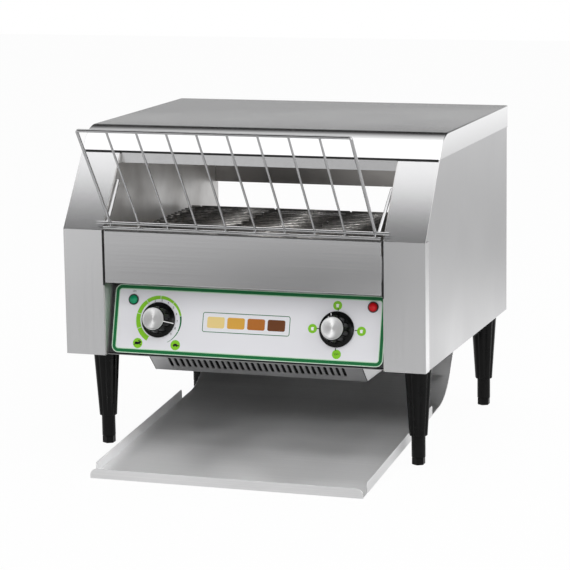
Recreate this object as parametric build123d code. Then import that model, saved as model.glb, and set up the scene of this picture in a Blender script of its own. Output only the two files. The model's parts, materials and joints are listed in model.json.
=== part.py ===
from build123d import *
import os
from math import cos, hypot, pi, radians, sin, tan

# Conveyor toaster on four adjustable legs: a folded stainless casing round a wire belt.
# Millimetres, +X to the user's right, +Y from front to back, +Z up, feet on Z = 0.
# Sizes below are taken from the front face of the posts (Y = 0) and the middle (X = 0);
# every node is moved by one shift at the end, so that the origin is mid-footprint.

# ---- casing ----
BODY_WIDTH = 470.0
BODY_DEPTH = 415.8
BODY_HEIGHT = 408.6
BODY_BOTTOM = 129.2
SHEET = 1.0
BEND = 2.0
SIDE_COMPARTMENT = 52.3
SLOPE_START = 288.8
SLOPE_ANGLE = 53.7
HOOD_RADIUS = 43.0
HOOD_LIP = 13.6
POST_TUCK = 6.0
POST_SIDE_RETURN = 16.0
POST_INNER_RETURN = 11.0
SIDE_TOP_FLANGE = 12.0

# ---- hood strip and chamber roof ----
STRIP_RISE = 1.5
STRIP_HEIGHT = 17.1
STRIP_FOLD = 16.0
STRIP_TUCK = 9.0
ROOF_DROP = 34.6
ROOF_SETBACK = 30.0
ROOF_REAR_GAP = 10.8
ROOF_FRONT_DROP = 10.0

# ---- front panel under the loading mouth ----
FRONT_PANEL_TOP = 290.0
FRONT_PANEL_BOTTOM = 222.0
FRONT_PANEL_GAP = 2.7
LOADING_SILL_DEPTH = 24.0
LOADING_SILL_DROP = 9.5
FRONT_PANEL_FOLD = 14.0
TAB_LENGTH = 12.0
TAB_HEIGHT = 30.0

# ---- rear panel and toast path ----
WINDOW_BOTTOM = 250.0
WINDOW_TOP = 294.0
CHUTE_ANGLE = 57.0
CHUTE_FOOT_INSET = 112.1
CHUTE_FOOT_Z = 89.8
CHUTE_LAP = 3.0
CHUTE_BOTTOM = 115.0
CHUTE_TOP_INSET = 13.8
DISCHARGE_FRONT_INSET = 165.8
DISCHARGE_REAR_INSET = 80.8
LOUVRE_COUNT = 5
LOUVRE_LENGTH = 34.0
LOUVRE_HEIGHT = 4.0
LOUVRE_PITCH = 13.0
LOUVRE_BOTTOM = 200.0

# ---- belt, shafts and sprockets ----
BELT_TOP = 279.0
BELT_SIDE_GAP = 11.7
BELT_FRONT = 38.0
BELT_WIRE = 2.0
BELT_PITCH = 12.7
BELT_TEETH = 12
REAR_SHAFT_INSET = 135.8
LINK_EDGE = 11.0
LINK_COLUMNS = 4
LINK_WIDTH = 3.6
LINK_THICKNESS = 1.0
LINK_STAGGER = 2.2
LINK_GAP = 0.05
SHAFT_RADIUS = 6.0
SPROCKET_WIDTH = 6.0
ROLLER_WIDTH = 14.0
BEARING_RADIUS = 9.0
HUB_RADIUS = 11.0
HUB_WIDTH = 18.0
SHAFT_END = 4.0
RUNNING_FIT = 0.05
SEAT_GAP = 0.3

# ---- belt support ----
RAIL_WIDTH = 6.0
RAIL_BOTTOM = 268.0
RAIL_MARGIN = 30.0
CROSSBAR_DEPTH = 4.0
CROSSBAR_HEIGHT = 4.0

# ---- heaters ----
HEATER_RADIUS = 5.0
HEATER_ROWS = 3
UPPER_HEATER_DROP = 11.0
UPPER_HEATER_FRONT = 135.0
UPPER_HEATER_REAR_INSET = 110.8
LOWER_HEATER_Z = 260.0
LOWER_HEATER_INSET = 20.0
HOLDER_HALF = 8.5
HOLDER_LENGTH = 18.0
HOLDER_CAP = 4.0
HOLDER_TAB_HALF = 1.8
HOLDER_TAB_LENGTH = 4.0
REFLECTOR_Z = 246.0
REFLECTOR_FRONT = 80.0
REFLECTOR_REAR_GAP = 40.0
REFLECTOR_RIM = 7.0

# ---- drive ----
MOTOR_Y = 110.0
MOTOR_Z = 172.0
GEARBOX_WIDTH = 35.0
GEARBOX_DEPTH = 56.0
GEARBOX_HEIGHT = 60.0
MOTOR_RADIUS = 26.0
MOTOR_LENGTH = 55.0
OUTPUT_RADIUS = 4.0
OUTPUT_BORE_DEPTH = 10.0
CHAIN_PITCH = 6.35
CHAIN_ROLLER = 3.3
CHAIN_PLATE_HEIGHT = 5.6
CHAIN_PLATE = 0.8
CHAIN_OFFSET = 25.3
CHAIN_SPROCKET_WIDTH = 3.0
CHAIN_SIDE_GAP = 0.2
CHAIN_DRIVE_TEETH = 24
CHAIN_MOTOR_TEETH = 12

# ---- cooling fan ----
FAN_SIZE = 80.0
FAN_DEPTH = 25.0
FAN_DUCT_RADIUS = 38.0
FAN_HUB_RADIUS = 15.5
FAN_BLADE_RADIUS = 36.5
FAN_BLADES = 7
FAN_BLADE_WIDTH = 14.0
FAN_BLADE_TWIST = 38.0
FAN_PLATE = 3.0
FAN_SPINDLE_RADIUS = 2.5
FAN_Y = 110.0
FAN_Z = 172.0

# ---- control panel ----
PANEL_Y = 8.0
PANEL_TOP = 216.0
PANEL_TILT = 15.5
PANEL_FOLD = 22.0
OVERLAY_SIDE_GAP = 3.7
OVERLAY_MARGIN = 0.6
OVERLAY_RADIUS = 7.0
OVERLAY_THICKNESS = 0.5
KNOB_EDGE = 61.0
KNOB_HEIGHT = 174.0
KNOB_SKIRT_RADIUS = 21.5
KNOB_SKIRT = 3.0
KNOB_BASE_RADIUS = 18.0
KNOB_TOP_RADIUS = 15.3
KNOB_DEPTH = 20.0
KNOB_FLUTES = 10
KNOB_FLUTE_SHARE = 0.078
KNOB_LIFT = 0.8
CAP_RADIUS = 13.8
CAP_THICKNESS = 1.2
SPINDLE_RADIUS = 3.0
SPINDLE_GRIP = 12.0
POT_RADIUS = 12.0
POT_DEPTH = 10.0
BUSH_RADIUS = 3.9
BUSH_LENGTH = 1.8
SWITCH_SIZE = 40.0
SWITCH_DEPTH = 32.0
LAMP_RADIUS = 6.8
LAMP_BEZEL = 1.6
LAMP_LENS_RADIUS = 5.8
LAMP_LENS_RISE = 2.4
LAMP_LENS_TAPER = 40.0
LAMP_BARREL_RADIUS = 4.8
LAMP_BARREL = 18.0
GREEN_LAMP_EDGE = 25.4
GREEN_LAMP_HEIGHT = 196.7
RED_LAMP_EDGE = 16.6
RED_LAMP_HEIGHT = 201.8

# ---- control compartment ----
SHIELD_FRONT = 38.0
SHIELD_REAR = 168.0
SHIELD_FOOT = 14.0
BOARD_WIDTH = 110.0
BOARD_HEIGHT = 56.0
BOARD_THICKNESS = 1.6
BOARD_STANDOFF = 5.0
BOARD_Z = 172.0
VENT_EDGE = 41.2
VENT_BOTTOM = 99.7
VENT_FRONT = 37.0
VENT_REAR = 163.0
VENT_REAR_RISE = 13.0
VENT_OPENING_MARGIN = 12.0
SLOT_MARGIN = 22.0
SLOT_PITCH = 7.95
SLOT_WIDTH = 3.4
SLOT_LENGTH = 18.0
SLOT_LOW = 106.8

# ---- mains inlet ----
GLAND_Z = 160.0
GLAND_THREAD_RADIUS = 8.0
GLAND_BORE_RADIUS = 4.5
GLAND_NUT = 22.0
GLAND_NUT_THICKNESS = 5.0
GLAND_DOME_RADIUS = 9.0
GLAND_DOME_LENGTH = 12.0
GLAND_INNER_LENGTH = 9.0
TERMINAL_WIDTH = 34.0
TERMINAL_DEPTH = 40.0
TERMINAL_HEIGHT = 20.0
TERMINAL_INSET = 60.8
TERMINAL_WAYS = 3

# ---- loading rack ----
RACK_TOP_Y = -92.0
RACK_TOP_Z = 425.0
RACK_SIDE_GAP = 10.7
RACK_WIRES = 10
RACK_FRAME_RADIUS = 2.0
RACK_WIRE_RADIUS = 1.4
RACK_BAR_RADIUS = 2.5
RACK_BAR_OVERLAP = 7.3
RACK_SEAT = 9.0
RACK_TOE_Y = -0.5
RACK_TOE_GAP = 2.7
RACK_ARM_GAP = 6.7
RACK_PIVOT_SHARE = 0.66
RACK_PIVOT_DEPTH = 7.0
RACK_EYE_RADIUS = 3.5
RACK_PIN_REACH = 5.0
RACK_PIN_FIT = 0.08

# ---- discharge tray ----
TRAY_SIDE_GAP = 8.7
TRAY_X = 14.2
TRAY_FRONT = -110.0
TRAY_LOW = 0.3
TRAY_SLOPE = 5.2
TRAY_RADIUS = 75.0
TRAY_LIP = 12.0
TRAY_LIP_RADIUS = 8.0
TRAY_FLANGE = 12.6
TRAY_FLANGE_FRONT = -92.0
TRAY_FLANGE_END = 104.7
TRAY_BACK_TOP = 112.0
REST_SIDE_GAP = 32.7
REST_BOTTOM = 100.0
REST_FLANGE = 20.0

# ---- legs ----
LEG_EDGE = 27.3
LEG_FRONT_Y = 62.7
LEG_REAR_INSET = 22.8
LEG_FLANGE_RADIUS = 19.2
LEG_FLANGE = 4.0
LEG_TOP_RADIUS = 17.0
LEG_END_RADIUS = 11.3
LEG_END = 37.0
LEG_FLUTES = 8
LEG_FLUTE_SHARE = 0.071
STEM_RADIUS = 8.7
STEM_FIT = 0.08
STEM_TOP = 75.0
STEM_BORE_TOP = 103.0
FOOT_HEX = 14.8
FOOT_HEX_HEIGHT = 9.5

# ---- flat sides that stand for a round section ----
WIRE_SIDES = 6
BAR_SIDES = 10
TURNED_SIDES = 16
WHEEL_SIDES = 24

# ---- places worked out from the sizes above ----
HALF = BODY_WIDTH / 2
SIDE_OUT = HALF - SHEET
SIDE_IN = HALF - 2 * SHEET
LINER_OUT = HALF - SIDE_COMPARTMENT
LINER_IN = LINER_OUT - SHEET
FLOOR_TOP = BODY_BOTTOM + SHEET
REAR_INNER = BODY_DEPTH - 2 * SHEET
REAR_OUTER = BODY_DEPTH - SHEET
LEAN = radians(SLOPE_ANGLE)
HOOD_CENTRE_Z = BODY_HEIGHT - HOOD_RADIUS
HOOD_CENTRE_Y = (HOOD_RADIUS - SHEET + (HOOD_CENTRE_Z - SLOPE_START) * cos(LEAN)) / sin(LEAN)
LIP_BOTTOM = HOOD_CENTRE_Z + HOOD_RADIUS * cos(LEAN) - HOOD_LIP * sin(LEAN)
STRIP_TOP = LIP_BOTTOM + STRIP_RISE
STRIP_Y = (STRIP_TOP - SLOPE_START) / tan(LEAN)
ROOF_HEIGHT = BODY_HEIGHT - ROOF_DROP
ROOF_FRONT = STRIP_Y + ROOF_SETBACK
ROOF_REAR = BODY_DEPTH - ROOF_REAR_GAP
CHUTE_FOOT_Y = BODY_DEPTH - CHUTE_FOOT_INSET
CHUTE_TOP_Y = BODY_DEPTH - CHUTE_TOP_INSET
DISCHARGE_FRONT = BODY_DEPTH - DISCHARGE_FRONT_INSET
DISCHARGE_REAR = BODY_DEPTH - DISCHARGE_REAR_INSET

SPROCKET_RADIUS = BELT_PITCH / (2 * sin(pi / BELT_TEETH))
SHAFT_Z = BELT_TOP - BELT_WIRE / 2 - SPROCKET_RADIUS
REAR_SHAFT_Y = BODY_DEPTH - REAR_SHAFT_INSET
BELT_RUN_PITCHES = int((REAR_SHAFT_Y - BELT_FRONT) / BELT_PITCH)
FRONT_SHAFT_Y = REAR_SHAFT_Y - BELT_RUN_PITCHES * BELT_PITCH
FRONT_STAGGER = (-1) ** BELT_RUN_PITCHES
BELT_WIDTH = 2 * (LINER_IN - BELT_SIDE_GAP)
LINK_SPACING = (BELT_WIDTH - 2 * LINK_EDGE) / (LINK_COLUMNS - 1)
LINK_XS = [(i - (LINK_COLUMNS - 1) / 2) * LINK_SPACING for i in range(LINK_COLUMNS)]
SPACE_XS = [(i - (LINK_COLUMNS - 2) / 2) * LINK_SPACING for i in range(LINK_COLUMNS - 1)]
REFLECTOR_REAR = REAR_SHAFT_Y - REFLECTOR_REAR_GAP
UPPER_HEATER_Z = ROOF_HEIGHT - UPPER_HEATER_DROP
UPPER_HEATER_REAR = BODY_DEPTH - UPPER_HEATER_REAR_INSET
LOWER_HEATER_FRONT = REFLECTOR_FRONT + LOWER_HEATER_INSET
LOWER_HEATER_REAR = REFLECTOR_REAR - LOWER_HEATER_INSET
CHAIN_X = LINER_OUT + CHAIN_OFFSET

TILT = radians(PANEL_TILT)
PANEL_LENGTH = (PANEL_TOP - FLOOR_TOP) / cos(TILT)
OVERLAY_WIDTH = 2 * (LINER_IN - OVERLAY_SIDE_GAP)
KNOB_X = OVERLAY_WIDTH / 2 - KNOB_EDGE
GREEN_LAMP_X = GREEN_LAMP_EDGE - OVERLAY_WIDTH / 2
RED_LAMP_X = OVERLAY_WIDTH / 2 - RED_LAMP_EDGE
VENT_WIDTH = 2 * (LINER_OUT - VENT_EDGE)
SLOT_COUNT = int((VENT_WIDTH - 2 * SLOT_MARGIN) / SLOT_PITCH)
CHUTE_LEAN = radians(CHUTE_ANGLE)
RACK_HALF = LINER_OUT - RACK_SIDE_GAP
RACK_BAR_HALF = LINER_OUT + RACK_BAR_OVERLAP
RACK_TOE_HALF = LINER_OUT - RACK_TOE_GAP
RACK_ARM_X = LINER_OUT - RACK_ARM_GAP
RACK_PIVOT_RISE = RACK_PIVOT_SHARE * (LIP_BOTTOM - SLOPE_START) / sin(LEAN)
RACK_PIVOT_Y = RACK_PIVOT_RISE * cos(LEAN) + RACK_PIVOT_DEPTH * sin(LEAN)
RACK_PIVOT_Z = SLOPE_START + RACK_PIVOT_RISE * sin(LEAN) - RACK_PIVOT_DEPTH * cos(LEAN)
RACK_BAR_Y = RACK_SEAT * cos(LEAN) - (RACK_BAR_RADIUS + SEAT_GAP) * sin(LEAN)
RACK_BAR_Z = SLOPE_START + RACK_SEAT * sin(LEAN) + (RACK_BAR_RADIUS + SEAT_GAP) * cos(LEAN)
RACK_TOE_Z = FRONT_PANEL_TOP + RACK_FRAME_RADIUS + SEAT_GAP
TRAY_WIDTH = 2 * (LINER_OUT - TRAY_SIDE_GAP)
TRAY_FLANGE_REAR = CHUTE_FOOT_Y - TRAY_FLANGE_END
REST_HALF = LINER_OUT - REST_SIDE_GAP
LEG_X = HALF - LEG_EDGE
LEG_REAR_Y = BODY_DEPTH - LEG_REAR_INSET
COMPARTMENT_X = (LINER_OUT + SIDE_IN) / 2
TERMINAL_Y = BODY_DEPTH - TERMINAL_INSET
GLAND_END = REAR_OUTER + GLAND_NUT_THICKNESS + GLAND_DOME_LENGTH
FOOTPRINT_MIDDLE = (TRAY_FRONT + GLAND_END) / 2


# ---------------------------------------------------------------- building blocks
def prism_x(outline, x0, x1):
    """Solid between two X planes, from a side view drawn in (y, z)."""
    return extrude(Plane.YZ.offset(x0) * outline, amount=x1 - x0)


def polygon(*points):
    return make_face(Polyline(*points, close=True))


def folded_sheet(points, x0, x1, side, radius=0):
    """Sheet that follows a folded line (y, z) across the body, with rounded bends if radius is given."""
    path = FilletPolyline(*points, radius=radius) if radius else Polyline(*points)
    return prism_x(make_face(offset(path, amount=SHEET, side=side)), x0, x1)


def block(x0, x1, y0, y1, z0, z1):
    """Box given by its limits."""
    size = Box(x1 - x0, y1 - y0, z1 - z0)
    return Pos((x0 + x1) / 2, (y0 + y1) / 2, (z0 + z1) / 2) * size


def section(radius, sides, bore=False):
    """Round outline, or a polygon in its place: inside the circle, or round it for a bore."""
    return RegularPolygon(radius, sides, major_radius=not bore) if sides else Circle(radius)


def rod_x(radius, x0, x1, y, z, sides=0, bore=False):
    """Bar along X."""
    return prism_x(Pos(y, z) * section(radius, sides, bore), x0, x1)


def rod_between(start, end, radius, sides=0):
    """Bar from one point to another."""
    span = Vector(*end) - Vector(*start)
    return Plane(origin=start, z_dir=span) * extrude(section(radius, sides), amount=span.length)


def fluted(radius, share, flutes, height):
    """Corners of a grip's outline: flats with a groove after each, a share of the radius deep."""
    pitch = 2 * pi / flutes
    points = []
    for i in range(flutes):
        for turn, reach in ((-0.25, radius), (0.25, radius), (0.5, radius * (1 - share))):
            points.append(Vector(reach * cos((i + turn) * pitch), reach * sin((i + turn) * pitch), height))
    return points


def tapered(bottom, top):
    """Solid with flat sides between the corners of two outlines of the same shape."""
    faces = [Face(Wire.make_polygon(corners)) for corners in (bottom, top)]
    for i in range(len(bottom)):
        j = (i + 1) % len(bottom)
        faces.append(Face(Wire.make_polygon([bottom[i], bottom[j], top[j], top[i]])))
    return Solid(Shell(faces))


def group(shapes):
    """Separate solids kept together in one node."""
    return Compound([solid for shape in shapes for solid in shape.solids()])


def mirrored(shape):
    return mirror(shape, Plane.YZ)


def panel_frame(x, rise, out=0.0):
    """Plane on the tilted control panel: X right, Y up its face, Z outwards."""
    front = (x, PANEL_Y + rise * sin(TILT), FLOOR_TOP + rise * cos(TILT))
    normal = Vector(0, -cos(TILT), sin(TILT))
    return Plane(origin=Vector(*front) + normal * out, x_dir=(1, 0, 0), z_dir=normal)


def rise_on_panel(height):
    """Distance up the control panel's face to a height above the table."""
    return (height - FLOOR_TOP) / cos(TILT)


def disc(radius, start, end, sides=0, bore=False):
    """Bar along Z between two heights."""
    return extrude(Pos(0, 0, start) * section(radius, sides, bore), amount=end - start)


def evenly(first, last):
    """Places of the heaters in one row, from the first to the last."""
    return [first + i * (last - first) / (HEATER_ROWS - 1) for i in range(HEATER_ROWS)]


# ---------------------------------------------------------------- casing
def casing_outline(inset, bottom=BODY_BOTTOM):
    """Side view of the casing: post, slope, hood bend, top and rear, inset from the outer skin."""
    depth = inset - SHEET
    radius = HOOD_RADIUS - inset
    top = BODY_HEIGHT - inset
    rear = BODY_DEPTH - inset
    tangent = (HOOD_CENTRE_Y - radius * sin(LEAN), HOOD_CENTRE_Z + radius * cos(LEAN))
    crown = (HOOD_CENTRE_Y - radius * sin(LEAN / 2), HOOD_CENTRE_Z + radius * cos(LEAN / 2))
    corner = (depth, SLOPE_START - depth * (1 - sin(LEAN)) / cos(LEAN))
    if bottom < corner[1]:
        start = (depth, bottom)
        front = Polyline(start, corner, tangent)
    else:
        start = ((bottom - SLOPE_START) / tan(LEAN) + depth / sin(LEAN), bottom)
        front = Line(start, tangent)
    bend = ThreePointArc(tangent, crown, (HOOD_CENTRE_Y, top))
    back = Polyline((HOOD_CENTRE_Y, top), (rear, top), (rear, bottom), start)
    return make_face([*front.edges(), *bend.edges(), *back.edges()])


def top_cover():
    """Cap over the casing: curved front lip, flat top, side and rear flanges."""
    outer = prism_x(casing_outline(0, LIP_BOTTOM), -HALF, HALF)
    inner = prism_x(casing_outline(SHEET, LIP_BOTTOM - BEND), -SIDE_OUT, SIDE_OUT)
    return outer - inner


def side_panel():
    """Flat side with a top flange folded in under the cover."""
    wall = prism_x(casing_outline(2 * SHEET), SIDE_IN, SIDE_OUT)
    top = BODY_HEIGHT - SHEET
    flange = block(SIDE_IN - SIDE_TOP_FLANGE, SIDE_OUT, HOOD_CENTRE_Y + SHEET, REAR_INNER, top - SHEET, top)
    return wall + flange


def post_cover():
    """Front post: an upright face, its sloping top and returns on both edges."""
    tuck = LIP_BOTTOM + POST_TUCK
    front_half = Pos(0, tuck / 2) * Rectangle(BODY_DEPTH / 2, tuck)
    below_lip = Pos(0, LIP_BOTTOM / 2) * Rectangle(BODY_DEPTH / 2, LIP_BOTTOM)
    face = casing_outline(SHEET) - casing_outline(2 * SHEET)
    lap = casing_outline(SHEET, FLOOR_TOP) - casing_outline(POST_INNER_RETURN)
    post = prism_x(face & front_half, LINER_OUT, SIDE_OUT)
    post += prism_x(face & below_lip, SIDE_OUT, HALF)
    post += prism_x(lap & front_half, LINER_OUT, LINER_OUT + SHEET)
    post += block(SIDE_OUT, HALF, 0, POST_SIDE_RETURN, BODY_BOTTOM, SLOPE_START)
    return post - rod_x(
        RACK_FRAME_RADIUS + RACK_PIN_FIT, LINER_OUT, LINER_OUT + SHEET, RACK_PIVOT_Y, RACK_PIVOT_Z, BAR_SIDES, True
    )


def liner(side):
    """Wall of the toasting chamber, which carries shafts, heaters and the rack's pivots."""
    plate = prism_x(casing_outline(2 * SHEET, FLOOR_TOP), LINER_IN, LINER_OUT)
    shaft = BEARING_RADIUS + RUNNING_FIT
    heater = HEATER_RADIUS + SEAT_GAP
    holes = [(FRONT_SHAFT_Y, SHAFT_Z, shaft, BAR_SIDES), (REAR_SHAFT_Y, SHAFT_Z, shaft, BAR_SIDES)]
    holes += [(y, z, heater, 4) for y, z in heater_places()]
    holes += [(RACK_PIVOT_Y, RACK_PIVOT_Z, RACK_FRAME_RADIUS + RACK_PIN_FIT, BAR_SIDES)]
    if side > 0:
        holes += [(MOTOR_Y, MOTOR_Z, HUB_RADIUS, TURNED_SIDES)]
    else:
        holes += [(FAN_Y, FAN_Z, FAN_DUCT_RADIUS, WHEEL_SIDES)]
    for y, z, radius, sides in holes:
        plate -= rod_x(radius, LINER_IN - SHEET, LINER_OUT + SHEET, y, z, sides, True)
    return plate if side > 0 else mirrored(plate)


def base_plate():
    """Floor of the casing, open under the belt's rear end and over the vent box."""
    plate = block(-SIDE_IN, SIDE_IN, SHEET, REAR_INNER, BODY_BOTTOM, FLOOR_TOP)
    plate -= block(-LINER_IN, LINER_IN, 0, PANEL_Y, BODY_BOTTOM, FLOOR_TOP)
    plate -= block(-LINER_IN, LINER_IN, DISCHARGE_FRONT, DISCHARGE_REAR, BODY_BOTTOM, FLOOR_TOP)
    half = VENT_WIDTH / 2 - VENT_OPENING_MARGIN
    front = VENT_FRONT + VENT_OPENING_MARGIN
    return plate - block(-half, half, front, SHIELD_REAR - 3 * VENT_OPENING_MARGIN, BODY_BOTTOM, FLOOR_TOP)


def rear_panel():
    """Back of the casing with the wide rear window and louvres for both side compartments."""
    panel = block(-SIDE_OUT, SIDE_OUT, REAR_INNER, REAR_OUTER, BODY_BOTTOM, BODY_HEIGHT - SHEET)
    panel -= block(-LINER_IN, LINER_IN, REAR_INNER, REAR_OUTER, WINDOW_BOTTOM, WINDOW_TOP)
    for side in (-1, 1):
        for i in range(LOUVRE_COUNT):
            z = LOUVRE_BOTTOM + i * LOUVRE_PITCH
            panel -= Pos(side * COMPARTMENT_X, REAR_INNER, z) * Box(LOUVRE_LENGTH, 4 * SHEET, LOUVRE_HEIGHT)
    return panel - gland_bar(GLAND_THREAD_RADIUS + RUNNING_FIT, REAR_INNER, REAR_OUTER)


def hood_strip():
    """Strip under the hood's lip that closes the top of the loading mouth."""
    tucked = (STRIP_Y + STRIP_TUCK * cos(LEAN), STRIP_TOP + STRIP_TUCK * sin(LEAN))
    bottom = STRIP_TOP - STRIP_HEIGHT
    line = (tucked, (STRIP_Y, STRIP_TOP), (STRIP_Y, bottom), (STRIP_Y + STRIP_FOLD, bottom))
    return folded_sheet(line, -LINER_IN, LINER_IN, Side.LEFT)


def chamber_roof():
    """Reflector over the upper heaters, folded down in front and down to the rear window."""
    line = (
        (ROOF_FRONT, ROOF_HEIGHT - ROOF_FRONT_DROP),
        (ROOF_FRONT, ROOF_HEIGHT),
        (ROOF_REAR, ROOF_HEIGHT),
        (ROOF_REAR, WINDOW_TOP),
    )
    return folded_sheet(line, -LINER_IN, LINER_IN, Side.LEFT)


def front_panel():
    """Plain front below the mouth: loading sill, face, bottom fold and two side tabs."""
    half = LINER_OUT - FRONT_PANEL_GAP
    line = (
        (LOADING_SILL_DEPTH, FRONT_PANEL_TOP - LOADING_SILL_DROP),
        (0, FRONT_PANEL_TOP),
        (0, FRONT_PANEL_BOTTOM),
        (FRONT_PANEL_FOLD, FRONT_PANEL_BOTTOM),
    )
    panel = folded_sheet(line, -half, half, Side.LEFT, BEND)
    middle = (FRONT_PANEL_TOP + FRONT_PANEL_BOTTOM) / 2
    tab = block(half - SHEET, LINER_IN, SHEET, TAB_LENGTH, middle - TAB_HEIGHT / 2, middle + TAB_HEIGHT / 2)
    return panel + tab + mirrored(tab)


# ---------------------------------------------------------------- toast path
def chute_point(z, lift):
    """Point on the slope that toast slides down, lift millimetres behind its surface."""
    y = CHUTE_FOOT_Y + (z - CHUTE_FOOT_Z) / tan(CHUTE_LEAN) + lift / sin(CHUTE_LEAN)
    return (y, z)


def chute_height(y, lift):
    return CHUTE_FOOT_Z + (y - CHUTE_FOOT_Y - lift / sin(CHUTE_LEAN)) * tan(CHUTE_LEAN)


def rear_chute():
    """Fixed slope behind the belt that turns the toast forward to the tray."""
    top = chute_height(CHUTE_TOP_Y, -CHUTE_LAP)
    line = (chute_point(CHUTE_BOTTOM, -CHUTE_LAP), (CHUTE_TOP_Y, top), (REAR_INNER, top))
    return folded_sheet(line, -LINER_IN, LINER_IN, Side.RIGHT)


def tray_rest():
    """Bracket under the base plate that the tray's back leans on."""
    lift = SHEET + SEAT_GAP
    corner = chute_point(BODY_BOTTOM, lift)
    line = (chute_point(REST_BOTTOM, lift), corner, (DISCHARGE_REAR + REST_FLANGE, BODY_BOTTOM))
    return folded_sheet(line, -REST_HALF, REST_HALF, Side.RIGHT)


def tray_floor_height(y):
    return TRAY_LOW + SHEET + (y - TRAY_FRONT) * tan(radians(TRAY_SLOPE))


def discharge_tray():
    """Loose tray: sloping floor that curves up at the back, low sides and an upturned front lip."""
    x0, x1 = TRAY_X - TRAY_WIDTH / 2, TRAY_X + TRAY_WIDTH / 2
    slope, steep = tan(radians(TRAY_SLOPE)), tan(CHUTE_LEAN)
    level = tray_floor_height(0)
    knee_y = (level - CHUTE_FOOT_Z + steep * CHUTE_FOOT_Y) / (steep - slope)
    line = (
        (TRAY_FRONT, tray_floor_height(TRAY_FRONT)),
        (knee_y, tray_floor_height(knee_y)),
        chute_point(TRAY_BACK_TOP, 0),
    )
    tray = folded_sheet(line, x0, x1, Side.RIGHT, TRAY_RADIUS)
    side = polygon(
        (TRAY_FLANGE_FRONT, tray_floor_height(TRAY_FLANGE_FRONT) - SHEET / 2),
        (TRAY_FLANGE_REAR, tray_floor_height(TRAY_FLANGE_REAR) - SHEET / 2),
        (TRAY_FLANGE_REAR, tray_floor_height(TRAY_FLANGE_REAR) + TRAY_FLANGE),
        (TRAY_FLANGE_FRONT, tray_floor_height(TRAY_FLANGE_FRONT) + TRAY_FLANGE),
    )
    tray += prism_x(side, x0, x0 + SHEET) + prism_x(side, x1 - SHEET, x1)
    lip = Rectangle(TRAY_WIDTH, 2 * TRAY_LIP)
    lip = fillet(lip.vertices(), TRAY_LIP_RADIUS) & Pos(0, TRAY_LIP / 2) * Rectangle(TRAY_WIDTH, TRAY_LIP)
    front = Plane(origin=(TRAY_X, TRAY_FRONT, TRAY_LOW), x_dir=(1, 0, 0), z_dir=(0, -1, 0))
    return tray + extrude(front * lip, amount=-SHEET)


# ---------------------------------------------------------------- belt and shafts
def belt_strand(y, z, direction, stagger):
    """One cross wire and its joint loops, which reach under the next wire.

    direction is the angle, in the side view, in which the next wire lies, and
    stagger is 1 or -1 so that the loops of neighbouring wires stand side by side."""
    wire = rod_x(BELT_WIRE / 2, -BELT_WIDTH / 2, BELT_WIDTH / 2, 0, 0, WIRE_SIDES)
    depth = -BELT_WIRE / 2 - LINK_GAP
    reach = BELT_PITCH + BELT_WIRE / 2
    half = LINK_WIDTH / 2
    loop = polygon((-half, depth), (half, depth), (0, depth - LINK_THICKNESS))
    loop = extrude(Plane.XZ.offset(BELT_WIRE / 2) * loop, amount=-reach - BELT_WIRE / 2)
    links = [Pos(x + stagger * LINK_STAGGER, 0, 0) * loop for x in LINK_XS]
    place = Pos(0, y, z) * Rot(direction, 0, 0)
    return [place * solid for solid in [wire, *links]]


def belt_run(height, direction, start_y, stagger):
    """Straight run of cross wires between the two shafts, without the wires on the wheels."""
    step = BELT_PITCH * cos(radians(direction))
    strands = []
    for i in range(1, BELT_RUN_PITCHES):
        strands += belt_strand(start_y + i * step, height, direction, -stagger * (-1) ** i)
    return group(strands)


def belt_wrap(shaft_y, first_angle, stagger):
    """Wires on one wheel, from the run that arrives to the run that leaves."""
    pitch_angle = 360 / BELT_TEETH
    strands = []
    for i in range(BELT_TEETH // 2 + 1):
        angle = first_angle - i * pitch_angle
        y = shaft_y + SPROCKET_RADIUS * cos(radians(angle))
        z = SHAFT_Z + SPROCKET_RADIUS * sin(radians(angle))
        last = i == BELT_TEETH // 2
        direction = angle - 90 - (0 if last else pitch_angle / 2)
        strands += belt_strand(y, z, direction, stagger * (-1) ** i)
    return strands


def wheel_outline(teeth, root, tip):
    """Toothed wheel drawn round the origin, with a pointed tooth midway between two seats."""
    points = []
    for i in range(teeth):
        for share, reach in ((0, root), (0.5, tip)):
            angle = (i + share) * 2 * pi / teeth
            points.append((reach * cos(angle), reach * sin(angle)))
    return polygon(*points)


def along_x(outline, x, width, y, z):
    """Wheel of a given outline, centred on a shaft along X."""
    return Pos(x - width / 2, y, z) * prism_x(outline, 0, width)


def drive_sprockets():
    """Toothed wheels on the rear shaft that pull the belt."""
    root = SPROCKET_RADIUS - BELT_WIRE / 2 - SEAT_GAP
    tip = SPROCKET_RADIUS + BELT_WIRE / 2 - LINK_GAP
    outline = wheel_outline(BELT_TEETH, root, tip)
    bore = rod_x(SHAFT_RADIUS + RUNNING_FIT, -HALF, HALF, REAR_SHAFT_Y, SHAFT_Z, BAR_SIDES, True)
    wheels = []
    for x in SPACE_XS:
        wheel = along_x(outline, x, SPROCKET_WIDTH, REAR_SHAFT_Y, SHAFT_Z)
        hub = rod_x(HUB_RADIUS, x - HUB_WIDTH / 2, x + HUB_WIDTH / 2, REAR_SHAFT_Y, SHAFT_Z, BAR_SIDES)
        wheels.append(wheel + hub - bore)
    return group(wheels)


def idler_rollers():
    """Plain rollers on the front shaft that turn the belt round."""
    radius = SPROCKET_RADIUS - BELT_WIRE / 2 - 2 * RUNNING_FIT
    bore = rod_x(SHAFT_RADIUS + RUNNING_FIT, -HALF, HALF, FRONT_SHAFT_Y, SHAFT_Z, BAR_SIDES, True)
    rollers = [
        rod_x(radius, x - ROLLER_WIDTH / 2, x + ROLLER_WIDTH / 2, FRONT_SHAFT_Y, SHAFT_Z, TURNED_SIDES) - bore
        for x in SPACE_XS
    ]
    return group(rollers)


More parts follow.
